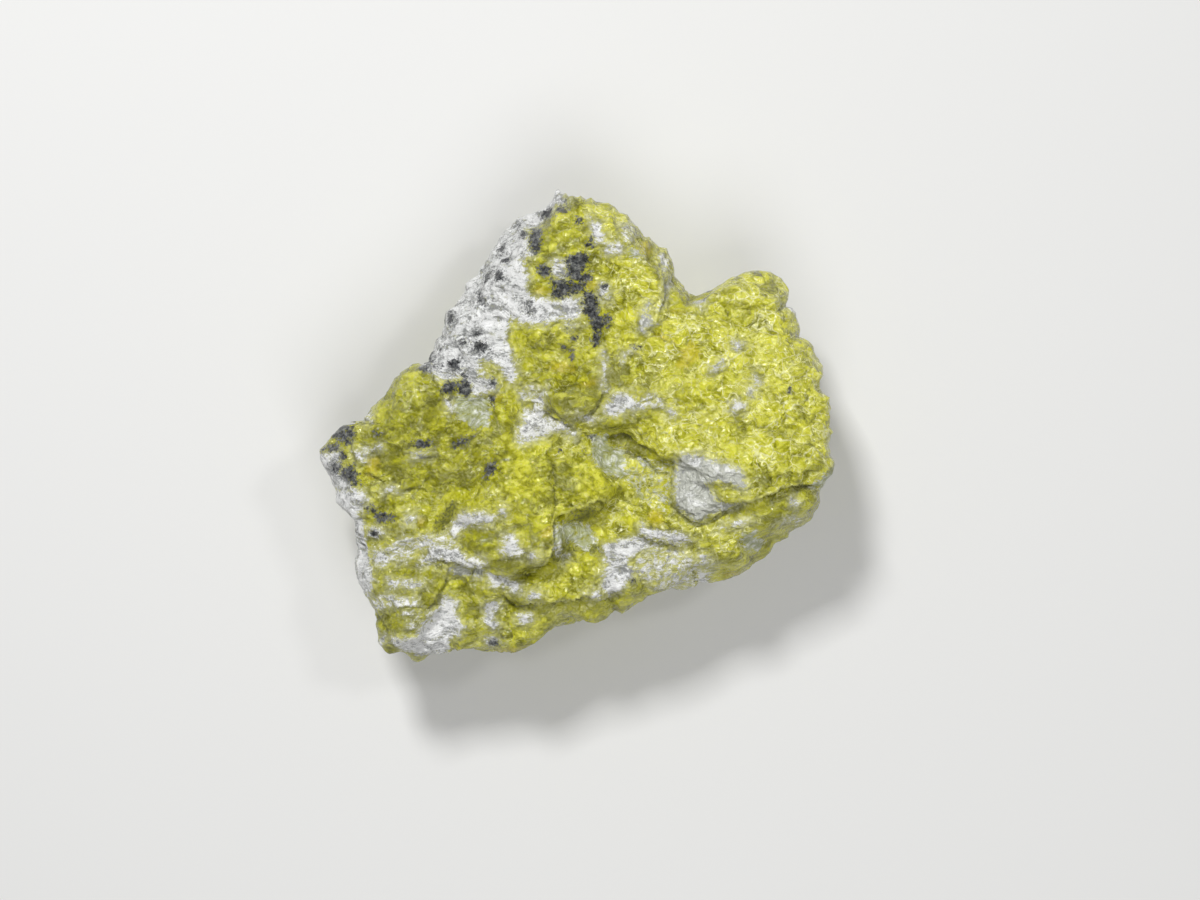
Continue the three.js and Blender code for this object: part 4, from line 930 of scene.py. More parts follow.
@dataclass(frozen=True)
class BakeMap:
    """Lays the skin out flat as two discs, the upper one larger, for baked pictures of the finish.

    Heights and the radius are in millimetres. Middles and sizes are shares of the picture.
    """

    name: str = "OFBake"
    split: float = 16.0
    top: float = 36.0
    spread: float = 0.012
    radius: float = 70.0
    upper_middle: float = 0.31
    upper_size: float = 0.6
    lower_middle: float = 0.81
    lower_size: float = 0.36

    def add_to(self, mesh: bpy.types.Mesh, points: np.ndarray) -> None:
        """Adds the map to the mesh.

        Args:
            mesh: The skin.
            points: Its vertices in millimetres.
        """
        layer = mesh.uv_layers.new(name=self.name)
        corners = np.empty(len(mesh.loops), np.int64)
        mesh.loops.foreach_get("vertex_index", corners)
        centres = np.empty(3 * len(mesh.polygons))
        mesh.polygons.foreach_get("center", centres)
        totals = np.empty(len(mesh.polygons), np.int64)
        mesh.polygons.foreach_get("loop_total", totals)
        upper = np.repeat(centres.reshape(-1, 3)[:, 2] / MM > self.split, totals)
        x, y, z = points[corners].T
        widen = np.where(upper, 1.0 + self.spread * (self.top - z), 1.0 + self.spread * z)
        flat = np.stack([x, y], axis=1) * widen[:, None] / (2.0 * self.radius)
        places = np.where(
            upper[:, None],
            self.upper_middle + self.upper_size * flat,
            self.lower_middle + self.lower_size * flat,
        )
        layer.data.foreach_set("uv", places.ravel())


@dataclass
class StoneSkin:
    """The stone's skin: the solid's own surface with fine, even faces, broken into finer forms.

    Lengths are in millimetres. A span is where something starts to fade in and where it is whole:
    heights above the ground, depths inside a mineral, or how far the skin faces up.
    """

    voxel: float = 0.56
    relax_steps: int = 11
    relax_share: float = 0.5
    rim_start: float = 0.78
    rim_sectors: int = 480
    rim_heights: Span = (5.0, 20.0)
    slopes: Span = (0.25, 0.65)
    face_heights: Span = (14.0, 25.0)
    sway: Drift = Drift(2.0, 4.0)
    side_sway: Drift = Drift(3.5, 9.0)
    side_sway_heights: Span = (18.0, 27.0)
    border: tuple[Lumps, ...] = (Lumps(0.6, 2.2, 11.0), Lumps(0.5, 1.1, 23.0))
    border_share: float = 0.8
    facet_drift: Drift = Drift(1.2, 4.0)
    blocks: Facets = Facets(1.3, 6.0)
    grains: Facets = Facets(0.4, 2.8, 40.0)
    grit: Lumps = Lumps(0.15, 1.2, 8.0)
    flanks: Facets = Facets(2.4, 11.0, 90.0)
    flank_heights: Span = (24.0, 34.0)
    fibres: Fibres = Fibres(0.45, 4.0, 1.2)
    folds: Fibres = Fibres(0.9, 13.0, 3.6)
    tangle: Lumps = Lumps(0.4, 1.5, 61.0)
    white_depths: Span = (-0.4, 0.5)
    crystals: Pebbles = Pebbles(0.3, 1.3, 70.0)
    dark_depths: Span = (-0.3, 0.4)
    mineral_sink: float = 0.2
    nodule_height: float = 0.14
    nodule_depths: Span = (-0.3, 1.3)
    nodule_calm: float = 0.6
    calm_depths: Span = (-0.2, 0.6)
    moat_height: float = 0.4
    moat_depth: float = -0.3
    moat_spread: float = 0.12
    ledge_drift: Drift = Drift(0.35, 2.5)
    ledge_share: float = 0.85
    ledge_facings: Span = (0.05, 0.45)
    ledge_heights: Span = (20.0, 25.0)
    lobe_slant: float = 0.35
    lobe_places: Span = (4.0, 30.0)
    lobe_edge: Lumps = Lumps(0.25, 12.0, 31.0)
    crest_share: float = 0.25
    crest_steps: int = 2

    def build(self) -> bpy.types.Object:
        """Makes the finished skin.

        Returns:
            The stone's object, with its mineral depths and curvature as attributes.
        """
        mesh = self.even_mesh()
        stone = bpy.data.objects.new("lizardite_skin", mesh)
        bpy.context.scene.collection.objects.link(stone)
        points = self.relax(mesh, self.read(mesh, "co") / MM, self.relax_steps)
        points = self.fit_rim(points)
        self.write(mesh, points)
        normals = self.read(mesh, "normal")
        depths = self.mineral_depths(points, self.steepness(normals))
        points = points + normals * self.roughness(points, normals, depths)[:, None]
        points = self.relax(mesh, points, 1)
        points = points + normals * self.ledge_lift(points, normals)[:, None]
        points = self.fit_rim(points)
        points[:, 2] = np.maximum(points[:, 2], 0.0)
        self.write(mesh, points)
        for mineral, depth in depths.items():
            self.add_attribute(mesh, mineral.value, depth)
        self.add_attribute(mesh, "crackle", self.crackle(points))
        self.add_attribute(mesh, "crest", self.crest(mesh, points))
        BakeMap().add_to(mesh, points)
        for polygon in mesh.polygons:
            polygon.use_smooth = True
        return stone

    def even_mesh(self) -> bpy.types.Mesh:
        """Copies the solid and remeshes the copy with small, even faces.

        Returns:
            The new mesh. The solid itself stays as it is.
        """
        shell = bmesh.new()
        shell.from_mesh(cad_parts[STONE_NODE].data)
        bmesh.ops.remove_doubles(shell, verts=shell.verts, dist=1e-6)
        mesh = bpy.data.meshes.new("shell")
        shell.to_mesh(mesh)
        shell.free()
        draft = bpy.data.objects.new("shell", mesh)
        bpy.context.scene.collection.objects.link(draft)
        remesh = draft.modifiers.new("even faces", "REMESH")
        remesh.mode = "VOXEL"
        remesh.voxel_size = self.voxel * MM
        evaluated = draft.evaluated_get(bpy.context.evaluated_depsgraph_get())
        even = bpy.data.meshes.new_from_object(evaluated)
        even.name = "lizardite_skin"
        bpy.data.objects.remove(draft)
        bpy.data.meshes.remove(mesh)
        return even

    @staticmethod
    def read(mesh: bpy.types.Mesh, name: str) -> np.ndarray:
        """Reads a vector of each vertex.

        Args:
            mesh: The mesh.
            name: The vertices' property that holds the vector.

        Returns:
            A row of three numbers for each vertex.
        """
        values = np.empty(3 * len(mesh.vertices))
        mesh.vertices.foreach_get(name, values)
        return values.reshape(-1, 3)

    @staticmethod
    def write(mesh: bpy.types.Mesh, points: np.ndarray) -> None:
        """Moves the mesh's vertices to the points, given in millimetres."""
        mesh.vertices.foreach_set("co", (points * MM).ravel())
        mesh.update()

    @staticmethod
    def add_attribute(mesh: bpy.types.Mesh, name: str, values: np.ndarray) -> None:
        """Stores one number for each vertex under a name that the finish reads."""
        layer = mesh.attributes.new(name, "FLOAT", "POINT")
        layer.data.foreach_set("value", values.astype(np.float32))

    @staticmethod
    def neighbour_mean(mesh: bpy.types.Mesh, values: np.ndarray) -> np.ndarray:
        """Mean of each vertex's neighbours.

        Args:
            mesh: The mesh whose edges join the neighbours.
            values: A row of numbers for each vertex.

        Returns:
            The mean row over the vertices that share an edge with each vertex.
        """
        pairs = np.empty(2 * len(mesh.edges), np.int64)
        mesh.edges.foreach_get("vertices", pairs)
        first, second = pairs.reshape(-1, 2).T
        total = len(values)
        count = np.bincount(pairs, minlength=total)
        columns = [
            np.bincount(first, column[second], total) + np.bincount(second, column[first], total)
            for column in values.T
        ]
        return np.stack(columns, axis=1) / count[:, None]

    def relax(self, mesh: bpy.types.Mesh, points: np.ndarray, steps: int) -> np.ndarray:
        """Rounds off the skin by moving each vertex towards its neighbours' mean.

        Args:
            mesh: The mesh whose edges join the neighbours.
            points: Its vertices in millimetres.
            steps: How many times they move.

        Returns:
            The vertices, moved.
        """
        for _ in range(steps):
            points = points + self.relax_share * (self.neighbour_mean(mesh, points) - points)
        return points

    def fit_rim(self, points: np.ndarray) -> np.ndarray:
        """Moves the outermost skin in or out, so that the stone's plan has the rim's outline.

        Args:
            points: Vertices in millimetres.

        Returns:
            The vertices, moved in their own directions from the middle of the plan.
        """
        rim = np.array(RIM)
        order = np.argsort(np.arctan2(rim[:, 1], rim[:, 0]))
        rim_angle = np.arctan2(rim[order, 1], rim[order, 0])
        rim_reach = np.hypot(rim[order, 0], rim[order, 1])
        angle = np.arctan2(points[:, 1], points[:, 0])
        reach = np.hypot(points[:, 0], points[:, 1])
        count = self.rim_sectors
        sector = np.floor((angle + math.pi) / (2.0 * math.pi) * count).astype(int) % count
        widest = np.zeros(count)
        np.maximum.at(widest, sector, reach)
        middles = (np.arange(count) + 0.5) / count * 2.0 * math.pi - math.pi
        now = np.interp(angle, middles, widest, period=2.0 * math.pi)
        wanted = np.interp(angle, rim_angle, rim_reach, period=2.0 * math.pi)
        share = smooth(reach / now, self.rim_start, 1.0)
        share = share * smooth(points[:, 2], *self.rim_heights)
        factor = 1.0 + (wanted - now) / np.maximum(reach, 1.0) * share
        return points * np.stack([factor, factor, np.ones(len(points))], axis=1)

    def steepness(self, normals: np.ndarray) -> np.ndarray:
        """How steep the skin is: 0 on level ground, 1 on the flanks."""
        return 1.0 - smooth(np.abs(normals[:, 2]), *self.slopes)

    def mineral_depths(self, points: np.ndarray, steep: np.ndarray) -> dict[Mineral, np.ndarray]:
        """How deep each vertex lies inside each mineral.

        Args:
            points: Vertices in millimetres.
            steep: How steep the skin is there, from 0 to 1.

        Returns:
            For each mineral, millimetres inside its ragged border, negative outside it.
        """
        low = 1.0 - smooth(points[:, 2], *self.side_sway_heights)
        sway = self.sway.at(points)[:, :2] + self.side_sway.at(points)[:, :2] * low[:, None]
        plan = points[:, :2] + sway * steep[:, None]
        ragged = sum(lumps.at(points) for lumps in self.border)
        on_face = smooth(points[:, 2], *self.face_heights)
        nowhere = np.full(len(points), -REACH)
        depths = {}
        for mineral in Mineral:
            depth = nowhere.copy()
            drawn = [patch for patch in PATCHES + VEINS if patch.mineral is mineral]
            for part in (*drawn, *SPOTS.get(mineral, ())):
                part.add_depth(plan, depth)
            if mineral in BREAKS:
                depth = depth + steep * BREAKS[mineral].at(points)
            other = SIDES[mineral].at(points) if mineral in SIDES else nowhere
            depth = depth * on_face + np.maximum(other, nowhere) * (1.0 - on_face)
            depths[mineral] = depth + self.border_share * ragged
        return depths

    def crackle(self, points: np.ndarray) -> np.ndarray:
        """How finely the stone is crackled with pale veins, 0 to 1: most in the broad lobe."""
        across = points[:, 0] + self.lobe_slant * points[:, 1]
        return np.clip(smooth(across, *self.lobe_places) + self.lobe_edge.at(points), 0.0, 1.0)

    def green_relief(
        self, points: np.ndarray, normals: np.ndarray, nodule: np.ndarray
    ) -> np.ndarray:
        """Facets, grains and low nodules of the green stone, with broader facets on the flanks.

        Args:
            points: Vertices in millimetres.
            normals: Their normals.
            nodule: How deep each vertex lies inside a nodule.

        Returns:
            Millimetres outwards for each vertex.
        """
        moat = np.exp(-((nodule - self.moat_depth) ** 2) / self.moat_spread)
        swell = smooth(nodule, *self.nodule_depths) - self.moat_height * moat
        calm = 1.0 - self.nodule_calm * smooth(nodule, *self.calm_depths)
        warped = points + self.facet_drift.at(points)
        relief = (
            self.blocks.at(warped)
            + self.grains.at(warped) * calm
            + self.grit.at(points) * calm
            + self.nodule_height * swell
        )
        flank = self.steepness(normals) * (1.0 - smooth(points[:, 2], *self.flank_heights))
        return relief + self.flanks.at(warped) * flank

    def roughness(
        self, points: np.ndarray, normals: np.ndarray, depths: dict[Mineral, np.ndarray]
    ) -> np.ndarray:
        """How far each vertex moves out along its normal.

        Args:
            points: Vertices in millimetres.
            normals: Their normals.
            depths: How deep each vertex lies inside each mineral.

        Returns:
            Millimetres outwards for each vertex.
        """
        pale = np.maximum(depths[Mineral.WHITE], depths[Mineral.SILVER])
        white = smooth(pale, *self.white_depths)
        dark = smooth(depths[Mineral.DARK], *self.dark_depths)
        nodule = np.maximum.reduce([depths[mineral] for mineral in NODULES])
        green = self.green_relief(points, normals, nodule)
        matted = self.fibres.at(points) + self.tangle.at(points) + self.folds.at(points)
        push = green * (1.0 - white) + (matted - self.mineral_sink) * white
        return push * (1.0 - dark) + (self.crystals.at(points) - self.mineral_sink) * dark

    def ledge_lift(self, points: np.ndarray, normals: np.ndarray) -> np.ndarray:
        """How far each vertex of the upper face moves out to make the crisp fracture ledges.

        Args:
            points: Vertices in millimetres.
            normals: Their normals.

        Returns:
            Millimetres outwards for each vertex.
        """
        lift = np.zeros(len(points))
        plan = points[:, :2] + self.ledge_drift.at(points)[:, :2]
        for ledge in LEDGES:
            ledge.add_lift(plan, lift)
        faces_up = smooth(normals[:, 2], *self.ledge_facings)
        upper = faces_up * smooth(points[:, 2], *self.ledge_heights)
        return self.ledge_share * lift * upper

    def crest(self, mesh: bpy.types.Mesh, points: np.ndarray) -> np.ndarray:
        """Curvature of the skin.

        Args:
            mesh: The skin.
            points: Its vertices in millimetres.

        Returns:
            A number for each vertex, from -1 in creases to 1 on crests.
        """
        normals = self.read(mesh, "normal")
        bend = np.einsum("ij,ij->i", points - self.neighbour_mean(mesh, points), normals)
        column = bend[:, None] / (self.crest_share * self.voxel)
        for _ in range(self.crest_steps):
            column = 0.5 * (column + self.neighbour_mean(mesh, column))
        return np.clip(column[:, 0], -1.0, 1.0)


@dataclass(frozen=True)
class Grain:
    """Soft noise: the width of its lumps in millimetres, its finer layers and their strength."""

    size: float
    detail: float = 2.0
    rough: float = 0.5


class Graph:
    """A material's node tree, built by short calls that take and return sockets."""

    def __init__(self, name: str) -> None:
        """Starts an empty material.

        Args:
            name: The material's name.
        """
        self.material = bpy.data.materials.new(name)
        self.material.use_nodes = True
        self.tree = self.material.node_tree
        self.tree.nodes.clear()

    def node(self, kind: str, **settings: object) -> bpy.types.Node:
        """Adds a node.

        Args:
            kind: The shader node's kind, without its prefix.
            **settings: Its own settings, by name.

        Returns:
            The node.
        """
        made = self.tree.nodes.new(f"ShaderNode{kind}")
        for name, value in settings.items():
            setattr(made, name, value)
        return made

    def put(self, value: object, target: Socket) -> None:
        """Links a socket to the target, or sets the target to a plain value.

        Args:
            value: A socket, a number or a colour.
            target: The input that takes it.
        """
        if isinstance(value, Socket):
            self.tree.links.new(value, target)
        else:
            target.default_value = value

    def fed(self, made: bpy.types.Node, values: tuple[object, ...]) -> bpy.types.Node:
        """Puts the values on a node's first inputs, in order.

        Args:
            made: The node.
            values: Sockets, numbers or colours.

        Returns:
            The same node.
        """
        for value, target in zip(values, made.inputs):
            self.put(value, target)
        return made

    def math(self, operation: str, *values: object) -> Socket:
        """One step of arithmetic on numbers or sockets."""
        return self.fed(self.node("Math", operation=operation), values).outputs[0]

    def vector(self, operation: str, *values: object) -> Socket:
        """One step of arithmetic on vectors."""
        return self.fed(self.node("VectorMath", operation=operation), values).outputs[0]

    def plus(self, value: Socket, part: Socket, share: float) -> Socket:
        """The value plus a share of a part."""
        return self.math("ADD", value, self.math("MULTIPLY", part, share))

    def centred(self, value: Socket) -> Socket:
        """A pattern from 0 to 1, moved to lie about 0."""
        return self.math("SUBTRACT", value, 0.5)

    def scaled(self, vector: Socket, factor: float) -> Socket:
        """A vector times a number.

        Args:
            vector: The vector.
            factor: The number.

        Returns:
            The longer or shorter vector.
        """
        made = self.node("VectorMath", operation="SCALE")
        self.put(vector, made.inputs[0])
        made.inputs["Scale"].default_value = factor
        return made.outputs[0]

    def step(self, value: object, low: float, high: float, top: float = 1.0) -> Socket:
        """Rises smoothly from 0 at low to top at high."""
        made = self.node("MapRange", interpolation_type="SMOOTHSTEP")
        return self.fed(made, (value, low, high, 0.0, top)).outputs[0]

    def blend(self, factor: object, under: object, over: object) -> Socket:
        """A colour between two colours.

        Args:
            factor: How much of the second colour shows.
            under: The first colour.
            over: The second colour.

        Returns:
            The mixed colour.
        """
        made = self.node("Mix", data_type="RGBA")
        for place, value in zip((0, 6, 7), (factor, under, over)):
            self.put(value, made.inputs[place])
        return made.outputs[2]

    def painted(self, colour: object, *coats: tuple[Socket, Sequence[float], Colour]) -> Socket:
        """A colour under further colours, each of which fades in along a value.

        Args:
            colour: The first colour.
            *coats: The value, its fade and the colour of each coat, from the lowest up.

        Returns:
            The mixed colour.
        """
        for value, fade, over in coats:
            colour = self.blend(self.step(value, *fade), colour, over)
        return colour

    def between(self, factor: object, under: object, over: object) -> Socket:
        """A number between two numbers.

        Args:
            factor: How much of the second number counts.
            under: The first number.
            over: The second number.

        Returns:
            The mixed number.
        """
        made = self.node("Mix", data_type="FLOAT")
        for place, value in zip((0, 2, 3), (factor, under, over)):
            self.put(value, made.inputs[place])
        return made.outputs[0]

    def noise(self, place: Socket, grain: Grain) -> Socket:
        """Soft noise.

        Args:
            place: The place in millimetres.
            grain: What the noise is like.

        Returns:
            The noise, from 0 to 1.
        """
        made = self.node("TexNoise")
        self.put(place, made.inputs["Vector"])
        made.inputs["Scale"].default_value = 1.0 / grain.size
        made.inputs["Detail"].default_value = grain.detail
        made.inputs["Roughness"].default_value = grain.rough
        return made.outputs["Fac"]

    def cells(self, place: Socket, size: float, feature: str = "F1") -> bpy.types.Node:
        """Cells.

        Args:
            place: The place in millimetres.
            size: Width of a cell in millimetres.
            feature: What is measured in a cell.

        Returns:
            The node, with its outputs.
        """
        made = self.node("TexVoronoi", feature=feature)
        self.put(place, made.inputs["Vector"])
        made.inputs["Scale"].default_value = 1.0 / size
        return made

    def warped(self, place: Socket, *swirls: Span) -> Socket:
        """A place moved about by noise.

        Args:
            place: The place in millimetres.
            *swirls: The width of each set of swirls, and about how far it moves the place at most.

        Returns:
            The new place.
        """
        for size, reach in swirls:
            made = self.node("TexNoise")
            self.put(place, made.inputs["Vector"])
            made.inputs["Scale"].default_value = 1.0 / size
            shift = self.vector("SUBTRACT", made.outputs["Color"], MIDDLE)
            place = self.vector("ADD", place, self.scaled(shift, 2.0 * reach))
        return place

    def stretched(self, place: Socket, angle: float, share: float) -> Socket:
        """A place whose patterns lie longer in one direction of the plan.

        Args:
            place: The place in millimetres.
            angle: The direction in degrees.
            share: Width of the patterns beside their length.

        Returns:
            The new place.
        """
        turned = self.node("Mapping")
        self.put(place, turned.inputs["Vector"])
        turned.inputs["Rotation"].default_value = (0.0, 0.0, math.radians(-angle))
        turned.inputs["Scale"].default_value = (share, 1.0, 1.0)
        return turned.outputs[0]

    def attribute(self, name: str) -> Socket:
        """A number stored on the mesh."""
        return self.node("Attribute", attribute_name=name).outputs["Fac"]


@dataclass(frozen=True)
class Layer:
    """One mineral's look: its colour, its roughness and its fine relief in millimetres."""

    colour: Socket
    roughness: Socket
    relief: Socket


@dataclass(frozen=True)
class Flakes:
    """Flat flakes: their width in millimetres, and how much they tint and tilt."""

    size: float
    tint: float
    tilt: float


@dataclass(frozen=True)
class LizarditeFinish:
    """Waxy yellow-green lizardite with pale crackle, white fibres, silver faces and dark grains.

    Swirls are a width and a reach in millimetres. A fade is where something starts to show and
    where it is whole, then how much of it shows there if that isn't all. A range is a roughness
    or a share at the least and at the most of a pattern. A tone is what a part adds to the pattern
    that picks the colour, and a height is what it adds to the fine relief in millimetres.
    """

    # Colours, from shade and greens to white, grey and black.
    shade: Colour = (0.11, 0.115, 0.02, 1)
    deep: Colour = (0.2, 0.2, 0.006, 1)
    olive: Colour = (0.31, 0.31, 0.006, 1)
    green: Colour = (0.5, 0.495, 0.012, 1)
    bright: Colour = (0.68, 0.67, 0.035, 1)
    haze: Colour = (0.52, 0.52, 0.22, 1)
    straw: Colour = (0.86, 0.85, 0.26, 1)
    cream: Colour = (0.87, 0.86, 0.4, 1)
    amber: Colour = (0.56, 0.45, 0.006, 1)
    chalk: Colour = (0.97, 0.975, 0.96, 1)
    film: Colour = (0.6, 0.6, 0.36, 1)
    ash: Colour = (0.33, 0.338, 0.325, 1)
    silver: Colour = (0.48, 0.49, 0.43, 1)
    mist: Colour = (0.44, 0.47, 0.25, 1)
    coal: Colour = (0.035, 0.037, 0.042, 1)
    slate: Colour = (0.17, 0.178, 0.185, 1)
    # The green stone.
    crumples: tuple[Span, ...] = ((4.0, 1.6), (1.1, 0.3))
    leaf_angle: float = 25.0
    leaf_share: float = 0.75
    blotch: Grain = Grain(2.0, 6.0, 0.65)
    blotch_tone: float = 0.7
    grit: Grain = Grain(0.4, 4.0, 0.8)
    grit_tone: float = 0.2
    grit_height: float = 0.08
    cloud: Grain = Grain(5.0, 3.0, 0.6)
    rolls: Grain = Grain(1.5, 3.0, 0.6)
    roll_height: float = 0.5
    flake_sizes: tuple[Flakes, ...] = (
        Flakes(3.2, 0.17, 0.5), Flakes(1.3, 0.12, 0.85), Flakes(0.6, 0.1, 0.9),
    )
    nodule_fade: Span = (-0.5, 0.7)
    nodule_tilt: float = 0.4
    nodule_calm: float = 0.7
    crust_fade: Span = (-0.6, 0.6)
    base_tone: float = 0.13
    crackle_tone: float = 0.07
    olive_tone: float = -0.13
    bright_tone: float = 0.08
    amber_tone: float = 0.02
    crust_tone: float = 0.06
    # Crests turn paler with wear, and creases darker with painted shade.
    crest_wear_and_crease_shade_tone: float = 0.12
    olive_fade: Span = (0.28, 0.42)
    green_fade: Span = (0.38, 0.54)
    bright_fade: Span = (0.52, 0.68)
    amber_share: float = 0.55
    haze_swirls: Span = (8.0, 3.0)
    haze_grain: Grain = Grain(6.0, 5.0, 0.65)
    haze_fade: Fade = (0.47, 0.62, 0.15)
    # Pale straw flecks on the grit's high points: dust, and painted glints.
    dust_and_glint_cloud: float = 0.5
    dust_and_glint_fade: Span = (0.55, 0.66)
    dust_and_glint_range: Span = (0.35, 0.75)
    # Painted shade in the pits of the grit and in the creases; pale straw wear on the crests.
    pit_shade_fade: Fade = (0.36, 0.28, 0.2)
    crease_shade_fade: Fade = (-0.2, -0.8, 0.55)
    crest_fade: Fade = (0.4, 0.9, 0.35)
    green_roughness: Span = (0.08, 0.32)
    # Its pale veins.
    vein_nets: tuple[Span, ...] = ((3.2, 0.05), (1.4, 0.075))
    vein_gaps: Grain = Grain(1.5, 4.0, 0.65)
    vein_fade: Span = (0.46, 0.58)
    vein_core: float = 0.2
    vein_range: Span = (0.2, 0.95)
    # The white fibres.
    fibre_angle: float = -35.0
    fibre_swirls: tuple[Span, ...] = ((11.0, 5.0), (2.5, 1.2))
    fibre_share: float = 0.18
    fibre_grain: Grain = Grain(0.55, 4.0, 0.62)
    white_swirls: Span = (3.0, 1.0)
    white_cloud: Grain = Grain(2.0, 6.0, 0.7)
    white_fine: Grain = Grain(0.4, 3.0, 0.7)
    silk_swirls: Span = (9.0, 4.0)
    silk_share: float = 0.4
    silk: Grain = Grain(1.7, 5.0, 0.62)
    silk_tone: float = 0.6
    silk_height: float = 2.4
    white_tones: tuple[float, float, float] = (0.35, 0.35, 0.3)
    white_fade: Span = (0.69, 0.83)
    thin_clouds: Span = (0.46, 0.36)
    thin_fibres: Span = (0.56, 0.44)
    thin_share: float = 0.6
    speck_grain: Grain = Grain(0.6, 3.0, 0.7)
    speck_fade: Span = (0.48, 0.56)
    speck_clouds: Span = (0.58, 0.44)
    speck_depths: Fade = (-2.4, -0.5, 0.7)
    white_heights: Span = (0.4, 0.1)
    white_roughness: Span = (0.35, 0.1)
    # The silver faces.
    fold_swirls: Span = (5.0, 2.0)
    folds: Grain = Grain(2.8, 3.0, 0.55)
    silver_fine: Grain = Grain(0.5, 3.0, 0.7)
    # The folds' tone paints highlight on their crests and shade in their hollows.
    silver_tones: Span = (0.3, 0.7)
    silver_fade: Span = (0.34, 0.46)
    chalk_highlight_fade: Fade = (0.52, 0.62, 0.6)
    silver_heights: tuple[float, float, float] = (2.8, 0.3, 0.08)
    silver_roughness: Span = (0.3, 0.1)
    # The misty windows.
    mist_cloud: Grain = Grain(1.6, 5.0, 0.68)
    mist_tones: Span = (0.5, 0.5)
    mist_fade: Span = (0.36, 0.48)
    mist_chalk: Fade = (0.48, 0.6, 0.7)
    mist_height: float = 0.4
    mist_roughness: Span = (0.45, 0.25)
    # The mossy wedges, and the painted shadow below the right slab.
    moss_grain: Grain = Grain(0.7, 5.0, 0.72)
    moss_and_shade_fade: Span = (0.4, 0.6)
    moss_height: float = 0.8
    moss_roughness: Span = (0.3, 0.5)
    # The dark grains.
    dark_grain: Grain = Grain(0.9, 5.0, 0.8)
    dark_cloud: Grain = Grain(1.8, 3.0)
    slate_fade: Span = (0.42, 0.54)
    coal_fade: Fade = (0.5, 0.38, 0.6)
    glint_fade: Fade = (0.54, 0.62, 0.9)
    dark_height: float = 1.6
    dark_roughness: Span = (0.15, 0.45)
    # The ragged borders between the minerals.
    fray: Grain = Grain(0.9, 6.0, 0.78)
    fray_reach: float = 5.0
    fray_share: float = 0.95
    streak_share: float = 0.6
    spread_swirls: Span = (1.5, 0.6)
    spread_grain: Grain = Grain(0.65, 6.0, 0.8)
    spread_share: float = 1.3
    soft_reach: float = 3.5
    white_inset: float = 0.35
    film_fade: Fade = (-1.8, 0.4, 0.55)
    relief_fade: Span = (-1.3, 1.1)
    mist_border: float = 0.5
    moss_and_shade_border: float = 0.3
    silver_border: float = 0.3
    white_border: float = 0.5
    dark_border: float = 0.25
    # The coat over all of them.
    coat_weight: float = 0.5
    coat_roughness: float = 0.1
    index_of_refraction: float = 1.55

    def green_layer(self, g: Graph, place: Socket, edge: Socket) -> Layer:
        """The green stone: waxy flakes and calmer nodules in a net of pale veins and dust, with
        painted glints and shade.

        Args:
            g: The material's nodes.
            place: The place in millimetres.
            edge: Millimetres by which the borders of the nodules are ragged.

        Returns:
            The look of the green stone.
        """
        crackle = g.attribute("crackle")
        crest = g.attribute("crest")
        olive, bright, amber = (
            g.step(g.math("ADD", g.attribute(mineral.value), edge), *self.nodule_fade)
            for mineral in NODULES
        )
        nodule = g.math("MAXIMUM", g.math("MAXIMUM", olive, bright), amber)
        crust = g.math("ADD", g.attribute(Mineral.CREAM.value), edge)
        crust = g.step(crust, *self.crust_fade)
        crumpled = g.warped(place, *self.crumples)
        leafy = g.stretched(crumpled, self.leaf_angle, self.leaf_share)
        blotch = g.noise(leafy, self.blotch)
        grit = g.noise(leafy, self.grit)
        cloud = g.noise(place, self.cloud)
        even = g.math("MULTIPLY", blotch, self.blotch_tone)
        base = g.math("MULTIPLY_ADD", crackle, self.crackle_tone, self.base_tone)
        tone = g.math("ADD", even, base)
        relief = g.math("MULTIPLY", g.noise(leafy, self.rolls), self.roll_height)
        for flakes in self.flake_sizes:
            tint, slope = self.flakes(g, leafy, flakes.size)
            tone = g.plus(tone, g.centred(tint), flakes.tint)
            tilt = g.between(nodule, flakes.tilt, self.nodule_tilt * flakes.tilt)
            relief = g.math("ADD", relief, g.math("MULTIPLY", slope, tilt))
        # Tones of the nodules, the crust and the crest; the crest's part darkens creases as painted
        # shade.
        for value, share in (
            (olive, self.olive_tone), (bright, self.bright_tone), (amber, self.amber_tone),
            (crust, self.crust_tone), (crest, self.crest_wear_and_crease_shade_tone),
        ):
            tone = g.plus(tone, value, share)
        tone = g.plus(tone, g.centred(grit), self.grit_tone)
        colour = g.painted(
            self.deep, (tone, self.olive_fade, self.olive),
            (tone, self.green_fade, self.green), (tone, self.bright_fade, self.bright),
        )
        colour = g.blend(g.math("MULTIPLY", amber, self.amber_share), colour, self.amber)
        haze = g.noise(g.warped(place, self.haze_swirls), self.haze_grain)
        haze = g.step(haze, *self.haze_fade)
        haze = g.math("MULTIPLY", haze, g.math("SUBTRACT", 1.0, nodule))
        colour = g.blend(haze, colour, self.haze)
        calm = g.math("SUBTRACT", 1.0, g.math("MULTIPLY", nodule, self.nodule_calm))
        # Pale straw flecks: dust, and painted glints on the grit's high points.
        dust_and_glint_flecks = g.plus(grit, g.centred(cloud), self.dust_and_glint_cloud)
        dust_and_glint_flecks = g.step(g.plus(dust_and_glint_flecks, crust, self.crust_tone), *self.dust_and_glint_fade)
        dust = g.math("MULTIPLY", dust_and_glint_flecks, g.between(crackle, *self.dust_and_glint_range))
        colour = g.blend(g.math("MULTIPLY", dust, calm), colour, self.straw)
        veins = self.veins(g, leafy, g.math("MAXIMUM", crackle, crust))
        colour = g.blend(g.math("MULTIPLY", veins, calm), colour, self.cream)
        # Painted shade in the pits and creases, and pale straw wear on the crests.
        colour = g.painted(
            colour, (grit, self.pit_shade_fade, self.shade),
            (crest, self.crease_shade_fade, self.shade), (crest, self.crest_fade, self.straw),
        )
        relief = g.plus(relief, grit, self.grit_height)
        return Layer(colour, g.between(grit, *self.green_roughness), relief)

